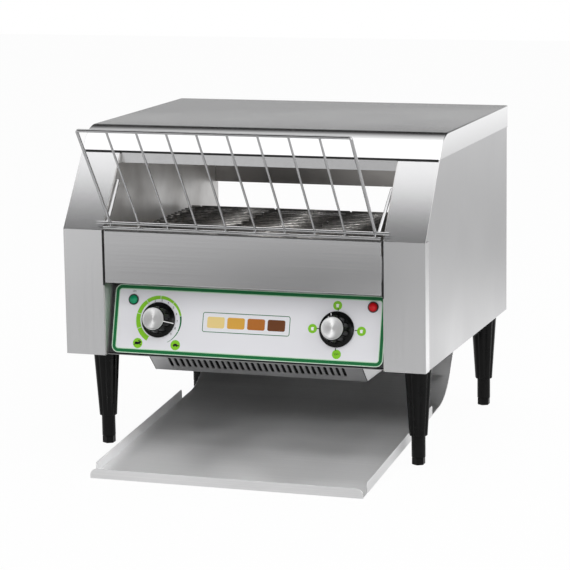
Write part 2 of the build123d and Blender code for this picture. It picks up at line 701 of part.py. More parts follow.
def bearing(y):
    """Bush with a square flange in the right liner, for a shaft at y."""
    barrel = rod_x(BEARING_RADIUS, LINER_IN - SHEET, LINER_OUT + SHAFT_END, y, SHAFT_Z, BAR_SIDES)
    flange = square_x(BEARING_RADIUS + SHAFT_END, LINER_OUT, LINER_OUT + 2 * SHEET, y, SHAFT_Z)
    return barrel + flange - rod_x(SHAFT_RADIUS + RUNNING_FIT, 0, HALF, y, SHAFT_Z, BAR_SIDES, True)


def shaft_bearings():
    bearings = [bearing(FRONT_SHAFT_Y), bearing(REAR_SHAFT_Y)]
    return group(bearings + [mirrored(shape) for shape in bearings])


def belt_support_frame():
    """Rails that carry the belt's upper run, welded on two cross bars between the liners."""
    top = BELT_TOP - BELT_WIRE - SEAT_GAP
    front, rear = FRONT_SHAFT_Y + RAIL_MARGIN, REAR_SHAFT_Y - RAIL_MARGIN
    frame = None
    for x in SPACE_XS:
        rail = block(x - RAIL_WIDTH / 2, x + RAIL_WIDTH / 2, front, rear, RAIL_BOTTOM, top)
        frame = rail if frame is None else frame + rail
    for y in (front, rear - CROSSBAR_DEPTH):
        frame += block(-LINER_IN, LINER_IN, y, y + CROSSBAR_DEPTH, RAIL_BOTTOM, RAIL_BOTTOM + CROSSBAR_HEIGHT)
    return frame


# ---------------------------------------------------------------- heaters
def heaters(places):
    """Quartz tubes across the chamber, their ends in the side compartments."""
    end = LINER_OUT + HOLDER_LENGTH - HOLDER_CAP
    return group([rod_x(HEATER_RADIUS, -end, end, y, z, BAR_SIDES) for y, z in places])


def upper_places():
    return [(y, UPPER_HEATER_Z) for y in evenly(UPPER_HEATER_FRONT, UPPER_HEATER_REAR)]


def lower_places():
    return [(y, LOWER_HEATER_Z) for y in evenly(LOWER_HEATER_FRONT, LOWER_HEATER_REAR)]


def heater_places():
    return upper_places() + lower_places()


def square_x(half, x0, x1, y, z):
    """Square bar along X."""
    return block(x0, x1, y - half, y + half, z - half, z + half)


def heater_holder(y, z):
    """Square ceramic holder on the right liner's outer face with a terminal tab at its end."""
    end = LINER_OUT + HOLDER_LENGTH
    holder = square_x(HOLDER_HALF, LINER_OUT, end, y, z)
    holder -= square_x(HEATER_RADIUS + SEAT_GAP, LINER_OUT, end - HOLDER_CAP, y, z)
    return holder + square_x(HOLDER_TAB_HALF, end, end + HOLDER_TAB_LENGTH, y, z)


def heater_holders():
    holders = [heater_holder(y, z) for y, z in heater_places()]
    return group(holders + [mirrored(holder) for holder in holders])


def lower_reflector():
    """Shallow tray under the lower heaters, between the belt's two runs."""
    line = (
        (REFLECTOR_FRONT, REFLECTOR_Z + REFLECTOR_RIM),
        (REFLECTOR_FRONT, REFLECTOR_Z),
        (REFLECTOR_REAR, REFLECTOR_Z),
        (REFLECTOR_REAR, REFLECTOR_Z + REFLECTOR_RIM),
    )
    return folded_sheet(line, -LINER_IN, LINER_IN, Side.LEFT)


# ---------------------------------------------------------------- drive
def gear_motor():
    """Motor and gearbox on the right liner's inner face, with a bore for the output shaft."""
    box = block(
        LINER_IN - GEARBOX_WIDTH, LINER_IN,
        MOTOR_Y - GEARBOX_DEPTH / 2, MOTOR_Y + GEARBOX_DEPTH / 2,
        MOTOR_Z - GEARBOX_HEIGHT / 2, MOTOR_Z + GEARBOX_HEIGHT / 2,
    )
    end = LINER_IN - GEARBOX_WIDTH
    can = rod_x(MOTOR_RADIUS, end - MOTOR_LENGTH, end, MOTOR_Y, MOTOR_Z, TURNED_SIDES)
    mouth = LINER_IN - OUTPUT_BORE_DEPTH
    return box + can - rod_x(OUTPUT_RADIUS + RUNNING_FIT, mouth, LINER_IN, MOTOR_Y, MOTOR_Z, BAR_SIDES, True)


def chain_radius(teeth):
    return CHAIN_PITCH / (2 * sin(pi / teeth))


def chain_wheel(teeth, y, z, bore, hub):
    """Chain sprocket with a hub towards the liner."""
    radius = chain_radius(teeth)
    root = radius - CHAIN_ROLLER / 2
    tip = radius + CHAIN_ROLLER / 2
    wheel = along_x(wheel_outline(teeth, root, tip), CHAIN_X, CHAIN_SPROCKET_WIDTH, y, z)
    boss = rod_x(hub, CHAIN_X - 3 * CHAIN_SPROCKET_WIDTH, CHAIN_X, y, z, BAR_SIDES)
    return wheel + boss - rod_x(bore + RUNNING_FIT, 0, HALF, y, z, BAR_SIDES, True)


def motor_sprocket():
    """Small chain sprocket on the gearbox's output shaft."""
    wheel = chain_wheel(CHAIN_MOTOR_TEETH, MOTOR_Y, MOTOR_Z, OUTPUT_RADIUS, 2 * OUTPUT_RADIUS)
    start = LINER_IN - OUTPUT_BORE_DEPTH + SEAT_GAP
    shaft = rod_x(OUTPUT_RADIUS, start, CHAIN_X + SHAFT_END, MOTOR_Y, MOTOR_Z)
    return group([wheel, shaft])


def drive_chain():
    """Side plates of the roller chain, as two closed loops beside the sprockets' teeth."""
    half = CHAIN_PLATE_HEIGHT / 2
    loops = []
    for change in (half, -half):
        small = Pos(MOTOR_Y, MOTOR_Z) * section(chain_radius(CHAIN_MOTOR_TEETH) + change, BAR_SIDES)
        large = Pos(REAR_SHAFT_Y, SHAFT_Z) * section(chain_radius(CHAIN_DRIVE_TEETH) + change, TURNED_SIDES)
        loops.append(make_hull([*small.edges(), *large.edges()]))
    loop = loops[0] - loops[1]
    gap = CHAIN_SPROCKET_WIDTH / 2 + CHAIN_SIDE_GAP
    outer = prism_x(loop, CHAIN_X + gap, CHAIN_X + gap + CHAIN_PLATE)
    inner = prism_x(loop, CHAIN_X - gap - CHAIN_PLATE, CHAIN_X - gap)
    return group([outer, inner])


# ---------------------------------------------------------------- cooling fan
def fan_frame():
    """Square fan housing on the left liner with a spider that carries the motor plate."""
    wall = -LINER_IN
    inner = wall + FAN_DEPTH
    half = FAN_SIZE / 2
    frame = block(wall, inner, FAN_Y - half, FAN_Y + half, FAN_Z - half, FAN_Z + half)
    frame -= rod_x(FAN_DUCT_RADIUS, wall, inner, FAN_Y, FAN_Z, WHEEL_SIDES, True)
    for turn in (0, 90):
        spoke = Box(FAN_PLATE, 2 * FAN_DUCT_RADIUS + FAN_PLATE, FAN_PLATE)
        frame += Pos(inner - FAN_PLATE / 2, FAN_Y, FAN_Z) * Rot(turn, 0, 0) * spoke
    plate = inner - FAN_PLATE
    frame += rod_x(FAN_HUB_RADIUS, plate, inner, FAN_Y, FAN_Z, TURNED_SIDES)
    return frame - rod_x(FAN_SPINDLE_RADIUS + RUNNING_FIT, plate, inner, FAN_Y, FAN_Z, BAR_SIDES, True)


def fan_impeller():
    """Hub, pitched blades and the spindle that runs in the frame's motor plate."""
    back = -LINER_IN + FAN_DEPTH - FAN_PLATE
    start = -LINER_IN + FAN_PLATE
    hub_end = back - SHEET
    wheel = rod_x(FAN_HUB_RADIUS, start, hub_end, FAN_Y, FAN_Z, TURNED_SIDES)
    middle = (start + hub_end) / 2
    span = FAN_BLADE_RADIUS - FAN_HUB_RADIUS + SHEET
    for i in range(FAN_BLADES):
        blade = Rot(0, 0, FAN_BLADE_TWIST) * Box(FAN_BLADE_WIDTH, SHEET, span)
        out = Pos(0, 0, FAN_BLADE_RADIUS - span / 2) * blade
        wheel += Pos(middle, FAN_Y, FAN_Z) * Rot(i * 360 / FAN_BLADES, 0, 0) * out
    return wheel + rod_x(FAN_SPINDLE_RADIUS, hub_end, back + FAN_PLATE - SHEET, FAN_Y, FAN_Z)


# ---------------------------------------------------------------- control panel
def panel_holes(shape):
    """Holes for the two control bushes and the two lamp barrels."""
    places = [(side * KNOB_X, KNOB_HEIGHT, BUSH_RADIUS) for side in (-1, 1)]
    places += [(GREEN_LAMP_X, GREEN_LAMP_HEIGHT, LAMP_BARREL_RADIUS)]
    places += [(RED_LAMP_X, RED_LAMP_HEIGHT, LAMP_BARREL_RADIUS)]
    for x, height, radius in places:
        drill = disc(radius + RUNNING_FIT, -4 * SHEET, 4 * SHEET, BAR_SIDES, True)
        shape -= panel_frame(x, rise_on_panel(height)) * drill
    return shape


def control_panel():
    """Tilted panel folded back at its foot and at its head."""
    head_y = PANEL_Y + PANEL_LENGTH * sin(TILT)
    line = (
        (PANEL_Y + PANEL_FOLD, FLOOR_TOP),
        (PANEL_Y, FLOOR_TOP),
        (head_y, PANEL_TOP),
        (head_y + PANEL_FOLD, PANEL_TOP),
    )
    return panel_holes(folded_sheet(line, -LINER_IN, LINER_IN, Side.RIGHT, BEND))


def control_overlay():
    """Printed plastic sheet with rounded corners on the panel's face."""
    height = PANEL_LENGTH - 2 * OVERLAY_MARGIN - 2 * BEND * tan((pi / 2 - TILT) / 2)
    outline = RectangleRounded(OVERLAY_WIDTH, height, OVERLAY_RADIUS)
    sheet = extrude(panel_frame(0, PANEL_LENGTH / 2) * outline, amount=OVERLAY_THICKNESS)
    return panel_holes(sheet)


def knob_place(side):
    return panel_frame(side * KNOB_X, rise_on_panel(KNOB_HEIGHT), OVERLAY_THICKNESS)


def knob(side):
    """Fluted knob with a flat skirt, a bore for the spindle and a recess for the bush."""
    base = KNOB_LIFT
    skirt = disc(KNOB_SKIRT_RADIUS, base, base + KNOB_SKIRT, WHEEL_SIDES)
    wide = fluted(KNOB_BASE_RADIUS, KNOB_FLUTE_SHARE, KNOB_FLUTES, base + KNOB_SKIRT)
    narrow = fluted(KNOB_TOP_RADIUS, KNOB_FLUTE_SHARE, KNOB_FLUTES, KNOB_DEPTH)
    body = skirt + tapered(wide, narrow)
    body -= disc(SPINDLE_RADIUS + RUNNING_FIT, base, base + SPINDLE_GRIP, BAR_SIDES, True)
    body -= disc(BUSH_RADIUS + SEAT_GAP, base, BUSH_LENGTH + SEAT_GAP, BAR_SIDES, True)
    return knob_place(side) * body


def knob_cap(side):
    return knob_place(side) * disc(CAP_RADIUS, KNOB_DEPTH, KNOB_DEPTH + CAP_THICKNESS, WHEEL_SIDES)


def spindle(side):
    """Control spindle, from inside the control's body up to the end of the knob's bore."""
    return knob_place(side) * disc(SPINDLE_RADIUS, -POT_DEPTH / 2, KNOB_LIFT + SPINDLE_GRIP - SEAT_GAP)


def control_body(body, side):
    """Control behind the panel with a bush through it and a bore for the spindle."""
    behind = -SHEET - OVERLAY_THICKNESS
    bush = disc(BUSH_RADIUS, behind, BUSH_LENGTH, BAR_SIDES)
    bore = disc(SPINDLE_RADIUS + RUNNING_FIT, -POT_DEPTH / 2 - SEAT_GAP, BUSH_LENGTH, BAR_SIDES, True)
    return knob_place(side) * (body + bush - bore)


def speed_potentiometer():
    behind = -SHEET - OVERLAY_THICKNESS
    return control_body(disc(POT_RADIUS, behind - POT_DEPTH, behind, TURNED_SIDES), -1)


def selector_switch():
    behind = -SHEET - OVERLAY_THICKNESS
    body = block(*[s * SWITCH_SIZE / 2 for s in (-1, 1, -1, 1)], behind - SWITCH_DEPTH, behind)
    return control_body(body, 1)


def lamp(x, height):
    """Indicator lamp: raised lens, bezel against the overlay and a barrel behind."""
    bezel = disc(LAMP_RADIUS, 0, LAMP_BEZEL, BAR_SIDES)
    rim = Pos(0, 0, LAMP_BEZEL) * section(LAMP_LENS_RADIUS, BAR_SIDES)
    lens = extrude(rim, amount=LAMP_LENS_RISE, taper=LAMP_LENS_TAPER)
    barrel = disc(LAMP_BARREL_RADIUS, -LAMP_BARREL, 0, BAR_SIDES)
    return panel_frame(x, rise_on_panel(height), OVERLAY_THICKNESS) * (bezel + lens + barrel)


# ---------------------------------------------------------------- control compartment
def heat_shield():
    """Roof and back wall of the control compartment, under the belt."""
    line = (
        (SHIELD_FRONT, PANEL_TOP),
        (SHIELD_REAR, PANEL_TOP),
        (SHIELD_REAR, FLOOR_TOP),
        (SHIELD_REAR + SHIELD_FOOT, FLOOR_TOP),
    )
    return folded_sheet(line, -LINER_IN, LINER_IN, Side.LEFT)


def control_board():
    """Speed control board on four stand-offs in front of the shield's back wall."""
    wall = SHIELD_REAR
    face = wall - BOARD_STANDOFF
    board = block(
        -BOARD_WIDTH / 2, BOARD_WIDTH / 2, face - BOARD_THICKNESS, face,
        BOARD_Z - BOARD_HEIGHT / 2, BOARD_Z + BOARD_HEIGHT / 2,
    )
    for x in (-BOARD_WIDTH / 2 + BOARD_STANDOFF, BOARD_WIDTH / 2 - BOARD_STANDOFF):
        for z in (BOARD_Z - BOARD_HEIGHT / 2 + BOARD_STANDOFF, BOARD_Z + BOARD_HEIGHT / 2 - BOARD_STANDOFF):
            board += Pos(x, wall - BOARD_STANDOFF / 2, z) * Box(BOARD_STANDOFF, BOARD_STANDOFF, BOARD_STANDOFF)
    return board


def vent_outline(inset):
    """Side view of the vent box: sloping slotted front, flat floor and sloping back."""
    drop = BODY_BOTTOM - VENT_BOTTOM
    shift = inset * tan(pi / 8)
    floor = VENT_BOTTOM + inset
    rear_shift = inset * (hypot(VENT_REAR_RISE, drop) - VENT_REAR_RISE) / drop
    floor_points = (VENT_FRONT + drop + shift, VENT_REAR - VENT_REAR_RISE - rear_shift)
    front_top = floor_points[0] - (BODY_BOTTOM - floor)
    rear_top = floor_points[1] + (BODY_BOTTOM - floor) * VENT_REAR_RISE / drop
    return polygon(
        (front_top, BODY_BOTTOM), (floor_points[0], floor), (floor_points[1], floor), (rear_top, BODY_BOTTOM)
    )


def vent_box():
    """Pan hung under the control compartment, its sloping front cut with air slots."""
    half = VENT_WIDTH / 2
    pan = prism_x(vent_outline(0), -half, half) - prism_x(vent_outline(SHEET), -half + SHEET, half - SHEET)
    slot_middle_z = SLOT_LOW + SLOT_LENGTH * sin(pi / 4) / 2
    slot_middle_y = VENT_FRONT + BODY_BOTTOM - slot_middle_z
    for i in range(SLOT_COUNT):
        x = (i - (SLOT_COUNT - 1) / 2) * SLOT_PITCH
        slot = Box(SLOT_WIDTH, 4 * SHEET, SLOT_LENGTH)
        pan -= Pos(x, slot_middle_y, slot_middle_z) * Rot(45, 0, 0) * slot
    return pan


# ---------------------------------------------------------------- mains inlet
def gland_bar(radius, y0, y1, sides=0):
    """Bar along Y on the cable gland's axis."""
    bar = extrude(section(radius, sides), amount=y1 - y0)
    return Pos(COMPARTMENT_X, y1, GLAND_Z) * Rot(90, 0, 0) * bar


def gland_nut(y):
    nut = extrude(section(GLAND_NUT / 2, 6, True), amount=GLAND_NUT_THICKNESS)
    return Pos(COMPARTMENT_X, y + GLAND_NUT_THICKNESS, GLAND_Z) * Rot(90, 0, 0) * nut


def cable_gland():
    """Mains cable gland in the rear panel, clamped by a nut on each side."""
    start = REAR_INNER - GLAND_INNER_LENGTH
    gland = gland_bar(GLAND_THREAD_RADIUS, start, REAR_OUTER, TURNED_SIDES)
    gland += gland_nut(REAR_OUTER) + gland_nut(REAR_INNER - GLAND_NUT_THICKNESS)
    gland += gland_bar(GLAND_DOME_RADIUS, REAR_OUTER, GLAND_END, TURNED_SIDES)
    return gland - gland_bar(GLAND_BORE_RADIUS, start, GLAND_END)


def terminal_block():
    """Mains terminals on the floor of the right side compartment."""
    x0 = COMPARTMENT_X - TERMINAL_WIDTH / 2
    y0 = TERMINAL_Y - TERMINAL_DEPTH / 2
    body = block(x0, x0 + TERMINAL_WIDTH, y0, y0 + TERMINAL_DEPTH, FLOOR_TOP, FLOOR_TOP + TERMINAL_HEIGHT)
    pitch = TERMINAL_WIDTH / TERMINAL_WAYS
    for i in range(TERMINAL_WAYS):
        screw = Pos(x0 + (i + 0.5) * pitch, TERMINAL_Y, FLOOR_TOP + TERMINAL_HEIGHT)
        body -= screw * Box(pitch / 2, TERMINAL_DEPTH * 0.6, TERMINAL_HEIGHT * 0.4)
    return body


# ---------------------------------------------------------------- loading rack
def loading_rack():
    """Wire ramp that leans out of the mouth, with two arms that pivot in the liners."""
    bar = rod_x(RACK_BAR_RADIUS, -RACK_BAR_HALF, RACK_BAR_HALF, RACK_BAR_Y, RACK_BAR_Z, WIRE_SIDES)
    toe = rod_x(RACK_FRAME_RADIUS, -RACK_TOE_HALF, RACK_TOE_HALF, RACK_TOE_Y, RACK_TOE_Z, WIRE_SIDES)
    top = rod_x(RACK_FRAME_RADIUS, -RACK_HALF, RACK_HALF, RACK_TOP_Y, RACK_TOP_Z, WIRE_SIDES)
    rack = bar + toe + top
    for i in range(RACK_WIRES):
        x = -RACK_HALF + i * 2 * RACK_HALF / (RACK_WIRES - 1)
        outer = i in (0, RACK_WIRES - 1)
        radius = RACK_FRAME_RADIUS if outer else RACK_WIRE_RADIUS
        rack += rod_between((x, RACK_TOP_Y, RACK_TOP_Z), (x, RACK_BAR_Y, RACK_BAR_Z), radius, WIRE_SIDES)
        rack += rod_between((x, RACK_BAR_Y, RACK_BAR_Z), (x, RACK_TOE_Y, RACK_TOE_Z), RACK_WIRE_RADIUS, WIRE_SIDES)
    elbow_x = LINER_IN - RACK_FRAME_RADIUS - SEAT_GAP
    elbow = (elbow_x, RACK_PIVOT_Y, RACK_PIVOT_Z)
    arm = rod_between((RACK_ARM_X, RACK_BAR_Y, RACK_BAR_Z), elbow, RACK_FRAME_RADIUS, WIRE_SIDES)
    eye_end = elbow_x + RACK_FRAME_RADIUS
    arm += rod_x(RACK_EYE_RADIUS, elbow_x - RACK_FRAME_RADIUS, eye_end, RACK_PIVOT_Y, RACK_PIVOT_Z, BAR_SIDES)
    arm += rod_x(RACK_FRAME_RADIUS, eye_end, LINER_OUT + RACK_PIN_REACH, RACK_PIVOT_Y, RACK_PIVOT_Z)
    arm -= bar
    return group([rack, arm, mirrored(arm)])


# ---------------------------------------------------------------- legs
def leg_body():
    """Tapered, fluted leg with a bored end for the foot's stem."""
    top = BODY_BOTTOM - LEG_FLANGE
    leg = disc(LEG_FLANGE_RADIUS, top, BODY_BOTTOM, WHEEL_SIDES)
    narrow = fluted(LEG_END_RADIUS, LEG_FLUTE_SHARE, LEG_FLUTES, LEG_END)
    wide = fluted(LEG_TOP_RADIUS, LEG_FLUTE_SHARE, LEG_FLUTES, top)
    leg += tapered(narrow, wide)
    return leg - disc(STEM_RADIUS + STEM_FIT, LEG_END, STEM_BORE_TOP, BAR_SIDES, True)


def leg_foot():
    """Adjustable stem with a hexagon end to turn it by."""
    hexagon = extrude(section(FOOT_HEX / 2, 6, True), amount=FOOT_HEX_HEIGHT)
    return hexagon + disc(STEM_RADIUS, FOOT_HEX_HEIGHT, STEM_TOP, BAR_SIDES)


# ---------------------------------------------------------------- the whole toaster
def build_parts():
    right_side, right_post = side_panel(), post_cover()
    top_z = SHAFT_Z + SPROCKET_RADIUS
    bottom_z = SHAFT_Z - SPROCKET_RADIUS
    wraps = belt_wrap(REAR_SHAFT_Y, 90, 1) + belt_wrap(FRONT_SHAFT_Y, -90, FRONT_STAGGER)
    chain_hub = 2 * SHAFT_RADIUS
    parts = {
        "side_panel_right": right_side,
        "side_panel_left": mirrored(right_side),
        "post_cover_right": right_post,
        "post_cover_left": mirrored(right_post),
        "liner_right": liner(1),
        "liner_left": liner(-1),
        "top_cover": top_cover(),
        "hood_strip": hood_strip(),
        "chamber_roof": chamber_roof(),
        "front_panel": front_panel(),
        "base_plate": base_plate(),
        "rear_panel": rear_panel(),
        "rear_chute": rear_chute(),
        "tray_rest": tray_rest(),
        "heat_shield": heat_shield(),
        "vent_box": vent_box(),
        "control_panel": control_panel(),
        "control_overlay": control_overlay(),
        "control_board": control_board(),
        "speed_potentiometer": speed_potentiometer(),
        "selector_switch": selector_switch(),
        "power_lamp": lamp(GREEN_LAMP_X, GREEN_LAMP_HEIGHT),
        "heating_lamp": lamp(RED_LAMP_X, RED_LAMP_HEIGHT),
        "terminal_block": terminal_block(),
        "cable_gland": cable_gland(),
        "upper_heaters": heaters(upper_places()),
        "lower_heaters": heaters(lower_places()),
        "heater_holders": heater_holders(),
        "lower_reflector": lower_reflector(),
        "belt_support_frame": belt_support_frame(),
        "belt_upper_run": belt_run(top_z, 0, FRONT_SHAFT_Y, -FRONT_STAGGER),
        "belt_lower_run": belt_run(bottom_z, 180, REAR_SHAFT_Y, -1),
        "belt_wraps": group(wraps),
        "shaft_bearings": shaft_bearings(),
        "gear_motor": gear_motor(),
        "drive_chain": drive_chain(),
        "fan_frame": fan_frame(),
        "fan_impeller": fan_impeller(),
        "drive_shaft": rod_x(SHAFT_RADIUS, -LINER_OUT - 2 * SHAFT_END, CHAIN_X + 2 * SHAFT_END, REAR_SHAFT_Y, SHAFT_Z),
        "drive_sprockets": drive_sprockets(),
        "chain_sprocket": chain_wheel(CHAIN_DRIVE_TEETH, REAR_SHAFT_Y, SHAFT_Z, SHAFT_RADIUS, chain_hub),
        "idler_shaft": rod_x(
            SHAFT_RADIUS, -LINER_OUT - 2 * SHAFT_END, LINER_OUT + 2 * SHAFT_END, FRONT_SHAFT_Y, SHAFT_Z
        ),
        "idler_rollers": idler_rollers(),
        "motor_sprocket": motor_sprocket(),
        "loading_rack": loading_rack(),
        "discharge_tray": discharge_tray(),
    }
    for name, side in (("speed", -1), ("selector", 1)):
        parts[f"{name}_knob"] = knob(side)
        parts[f"{name}_knob_cap"] = knob_cap(side)
        parts[f"{name}_spindle"] = spindle(side)
    body, foot = leg_body(), leg_foot()
    for row, y in (("front", LEG_FRONT_Y), ("rear", LEG_REAR_Y)):
        for name, x in (("left", -LEG_X), ("right", LEG_X)):
            parts[f"leg_{row}_{name}"] = Pos(x, y, 0) * body
            parts[f"foot_{row}_{name}"] = Pos(x, y, 0) * foot
    return parts


def main():
    os.makedirs("parts", exist_ok=True)
    for name, shape in build_parts().items():
        export_step(Pos(0, -FOOTPRINT_MIDDLE, 0) * shape, f"parts/{name}.step")


main()
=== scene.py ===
import json
import math

import bmesh
import bpy
import numpy as np
from mathutils import Matrix, Vector

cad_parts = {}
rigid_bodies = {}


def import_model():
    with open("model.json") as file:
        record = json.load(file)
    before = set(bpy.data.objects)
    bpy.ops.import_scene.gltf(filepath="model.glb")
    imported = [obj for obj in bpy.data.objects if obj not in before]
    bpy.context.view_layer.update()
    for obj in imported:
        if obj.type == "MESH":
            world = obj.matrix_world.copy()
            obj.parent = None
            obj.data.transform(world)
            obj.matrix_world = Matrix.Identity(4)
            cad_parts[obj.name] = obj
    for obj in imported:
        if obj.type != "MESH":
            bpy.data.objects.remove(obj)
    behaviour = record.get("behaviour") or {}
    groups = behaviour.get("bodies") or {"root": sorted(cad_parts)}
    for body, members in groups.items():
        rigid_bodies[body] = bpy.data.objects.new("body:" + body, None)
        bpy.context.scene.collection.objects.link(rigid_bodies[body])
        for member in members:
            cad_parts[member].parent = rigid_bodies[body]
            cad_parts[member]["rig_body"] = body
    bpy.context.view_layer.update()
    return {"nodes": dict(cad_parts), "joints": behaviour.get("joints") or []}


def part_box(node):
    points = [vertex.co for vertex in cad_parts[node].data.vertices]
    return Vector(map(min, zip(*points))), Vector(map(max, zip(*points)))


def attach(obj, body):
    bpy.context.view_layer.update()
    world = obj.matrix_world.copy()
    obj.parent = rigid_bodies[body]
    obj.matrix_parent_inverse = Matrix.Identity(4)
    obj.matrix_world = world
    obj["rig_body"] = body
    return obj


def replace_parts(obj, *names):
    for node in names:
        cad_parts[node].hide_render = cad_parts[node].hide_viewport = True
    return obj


bl_info = {
    "name": "Conveyor toaster dressing",
    "version": (1, 0, 0),
    "blender": (4, 5, 0),
    "location": "View3D > Sidebar > Toaster",
    "description": "Adds the finished surfaces, prints and studio of a conveyor toaster to its frame",
    "category": "Object",
}

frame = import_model()
NODES = frame["nodes"]
JOINTS = {joint["name"]: joint for joint in frame["joints"]}
MM = 0.001
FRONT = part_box("post_cover_left")[0][1]  # the posts' front face, from which shapes are drawn


def box_mm(node):
    """Lowest and highest corners of a frame node in millimetres, with y from the posts' front face."""
    return [np.array(corner) / MM - (0, FRONT / MM, 0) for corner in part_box(node)]


def joint_mm(name):
    """Where a joint's axis is, in millimetres: (y from the posts' front face, z over the table)."""
    _, y, z = JOINTS[name]["pos_m"]
    return (y - FRONT) / MM, z / MM


# ---------------------------------------------------------------- colour and nodes
def linear(code):
    """sRGB hex to linear: c / 12.92 up to 0.04045, else ((c + 0.055) / 1.055) ** 2.4."""
    srgb = np.array([int(code[i:i + 2], 16) for i in (1, 3, 5)]) / 255
    curve = np.where(srgb <= 0.04045, srgb / 12.92, ((srgb + 0.055) / 1.055) ** 2.4)
    return (*curve.tolist(), 1.0)


def add_node(tree, kind, values=None, links=None, feeds=None, **settings):
    """One shader node with its settings, socket values, incoming links and the sockets it feeds."""
    node = tree.nodes.new(kind)
    for name, value in settings.items():
        setattr(node, name, value)
    for name, value in (values or {}).items():
        node.inputs[name].default_value = value
    for name, source in (links or {}).items():
        tree.links.new(source, node.inputs[name])
    for name, target in (feeds or {}).items():
        tree.links.new(node.outputs[name], target)
    return node


def patterned(name, colour, metallic, roughness, *layers, tangent=None, **sockets):
    """Material with one Principled shader, whose even values are set on its own sockets. Each layer is a
    noise of scale = 1000 / size in mm along x, y and z, on Object coordinates or on the UV map it names. It
    may drive tone (two colours), gloss (two roughnesses) and relief (a depth in metres): tone and gloss run
    from their first value to their second while the noise runs over tone_span or gloss_span."""
    material = bpy.data.materials.new(name)
    material.use_nodes = True
    tree = material.node_tree
    shader = tree.nodes["Principled BSDF"]
    even = {"Base_Color": colour, "Metallic": metallic, "Roughness": roughness, **sockets}
    for socket, value in even.items():
        shader.inputs[socket.replace("_", " ")].default_value = value
    if tangent:
        add_node(tree, "ShaderNodeTangent", None, None, {"Tangent": shader.inputs["Tangent"]},
                 direction_type="UV_MAP", uv_map=tangent)
    for layer in layers:
        if "uv" in layer:
            place = add_node(tree, "ShaderNodeUVMap", uv_map=layer["uv"]).outputs["UV"]
        else:
            place = add_node(tree, "ShaderNodeTexCoord").outputs["Object"]
        scale = [float(s) for s in np.broadcast_to(layer["scale"], 3)]
        scaled = add_node(tree, "ShaderNodeMapping", {"Scale": scale}, {"Vector": place})
        values = {"Scale": 1.0, "Detail": layer.get("detail", 3.0), "Roughness": layer.get("harsh", 0.5)}
        noise = add_node(tree, "ShaderNodeTexNoise", values, {"Vector": scaled.outputs["Vector"]})
        noise = noise.outputs["Fac"]
        if "tone" in layer:
            (low, high), (start, end) = layer["tone"], layer.get("tone_span", (0.0, 1.0))
            values = {"From Min": start, "From Max": end}
            share = add_node(tree, "ShaderNodeMapRange", values, {"Value": noise})
            add_node(tree, "ShaderNodeMix", {6: low, 7: high}, {0: share.outputs["Result"]},
                     {2: shader.inputs["Base Color"]}, data_type="RGBA")
        if "gloss" in layer:
            (low, high), (start, end) = layer["gloss"], layer.get("gloss_span", (0.3, 0.7))
            values = {"From Min": start, "From Max": end, "To Min": low, "To Max": high}
            add_node(tree, "ShaderNodeMapRange", values, {"Value": noise},
                     {"Result": shader.inputs["Roughness"]})
        if "relief" in layer:
            add_node(tree, "ShaderNodeBump", {"Distance": layer["relief"]}, {"Height": noise},
                     {"Normal": shader.inputs["Normal"]})
    return material


# ---------------------------------------------------------------- materials
def brushed_steel(name, code, roughness, grain="x", contrast=0.05, cloud=0.06, smear=0.0):
    """AISI 304 sheet, ground with a belt: fine scratches all one way, about 0.25 mm apart, drawn 1 mm
    apart so that they show, over soft clouds of gloss about 125 mm across. A smear draws its highlights
    out square to the scratches, along the first axis of the map "rolling"."""
    tone = linear(code)
    scratches = {"x": (4, 1000, 1000), "z": (1000, 1000, 4)}[grain]
    shades = [(*(min(1.0, c * (1 + side * contrast)) for c in tone[:3]), 1.0) for side in (-1, 1)]
    return patterned(
        name, tone, 1.0, roughness,
        dict(scale=scratches, detail=2.0, harsh=0.6, tone=shades, relief=0.000004),
        dict(scale=8, detail=2.0, gloss=(roughness - cloud, roughness + cloud)),
        tangent="rolling" if smear else None, Anisotropic=smear)


def heat_stained_steel():
    """304 liner sheet that has been hot: pale grey clouds about 60 mm across, faintly straw, low gloss."""
    return patterned(
        "heat_stained_stainless", linear("#B9B8B6"), 1.0, 0.36,
        dict(scale=16, detail=5.0, tone=(linear("#C6C4C2"), linear("#E0DFDE")), tone_span=(0.3, 0.7),
             gloss=(0.46, 0.32)),
        dict(scale=(1000, 4, 1000), relief=0.000004))


def aluminised_steel_and_shade():
    """Aluminised steel, slightly mottled in flakes about 8 mm across, each with its own gloss. Its dark grey
    is partly painted shade, darker than the sheet itself, for the shaded inside of the chamber.
    """
    material = patterned("aluminised_steel_painted_shade", linear("#6E6C6A"), 1.0, 0.38)
    tree = material.node_tree
    place = add_node(tree, "ShaderNodeTexCoord").outputs["Object"]
    scaled = add_node(tree, "ShaderNodeMapping", {"Scale": (120, 120, 120)}, {"Vector": place})
    flakes = add_node(tree, "ShaderNodeTexVoronoi", {"Scale": 1.0}, {"Vector": scaled.outputs["Vector"]})
    add_node(tree, "ShaderNodeMapRange", {"To Min": 0.32, "To Max": 0.46}, {"Value": flakes.outputs["Color"]},
             {"Result": tree.nodes["Principled BSDF"].inputs["Roughness"]})
    return material


def oxidised_wire():
    """Drawn 304 belt wire, dulled by heat: mid grey, worn a little brighter in patches 5 mm long."""
    return patterned(
        "oxidised_belt_wire", linear("#4A4744"), 1.0, 0.45,
        dict(scale=200, detail=4.0, tone=(linear("#626160"), linear("#8C8A87")), tone_span=(0.35, 0.7),
             gloss=(0.55, 0.32), gloss_span=(0.35, 0.7)))


def polished_wire():
    """Electropolished stainless rod: bright, with faint draw lines that vary its gloss."""
    return patterned("electropolished_wire", linear("#C4C4C5"), 1.0, 0.16,
                     dict(scale=(900, 60, 60), detail=2.0, gloss=(0.12, 0.24)))


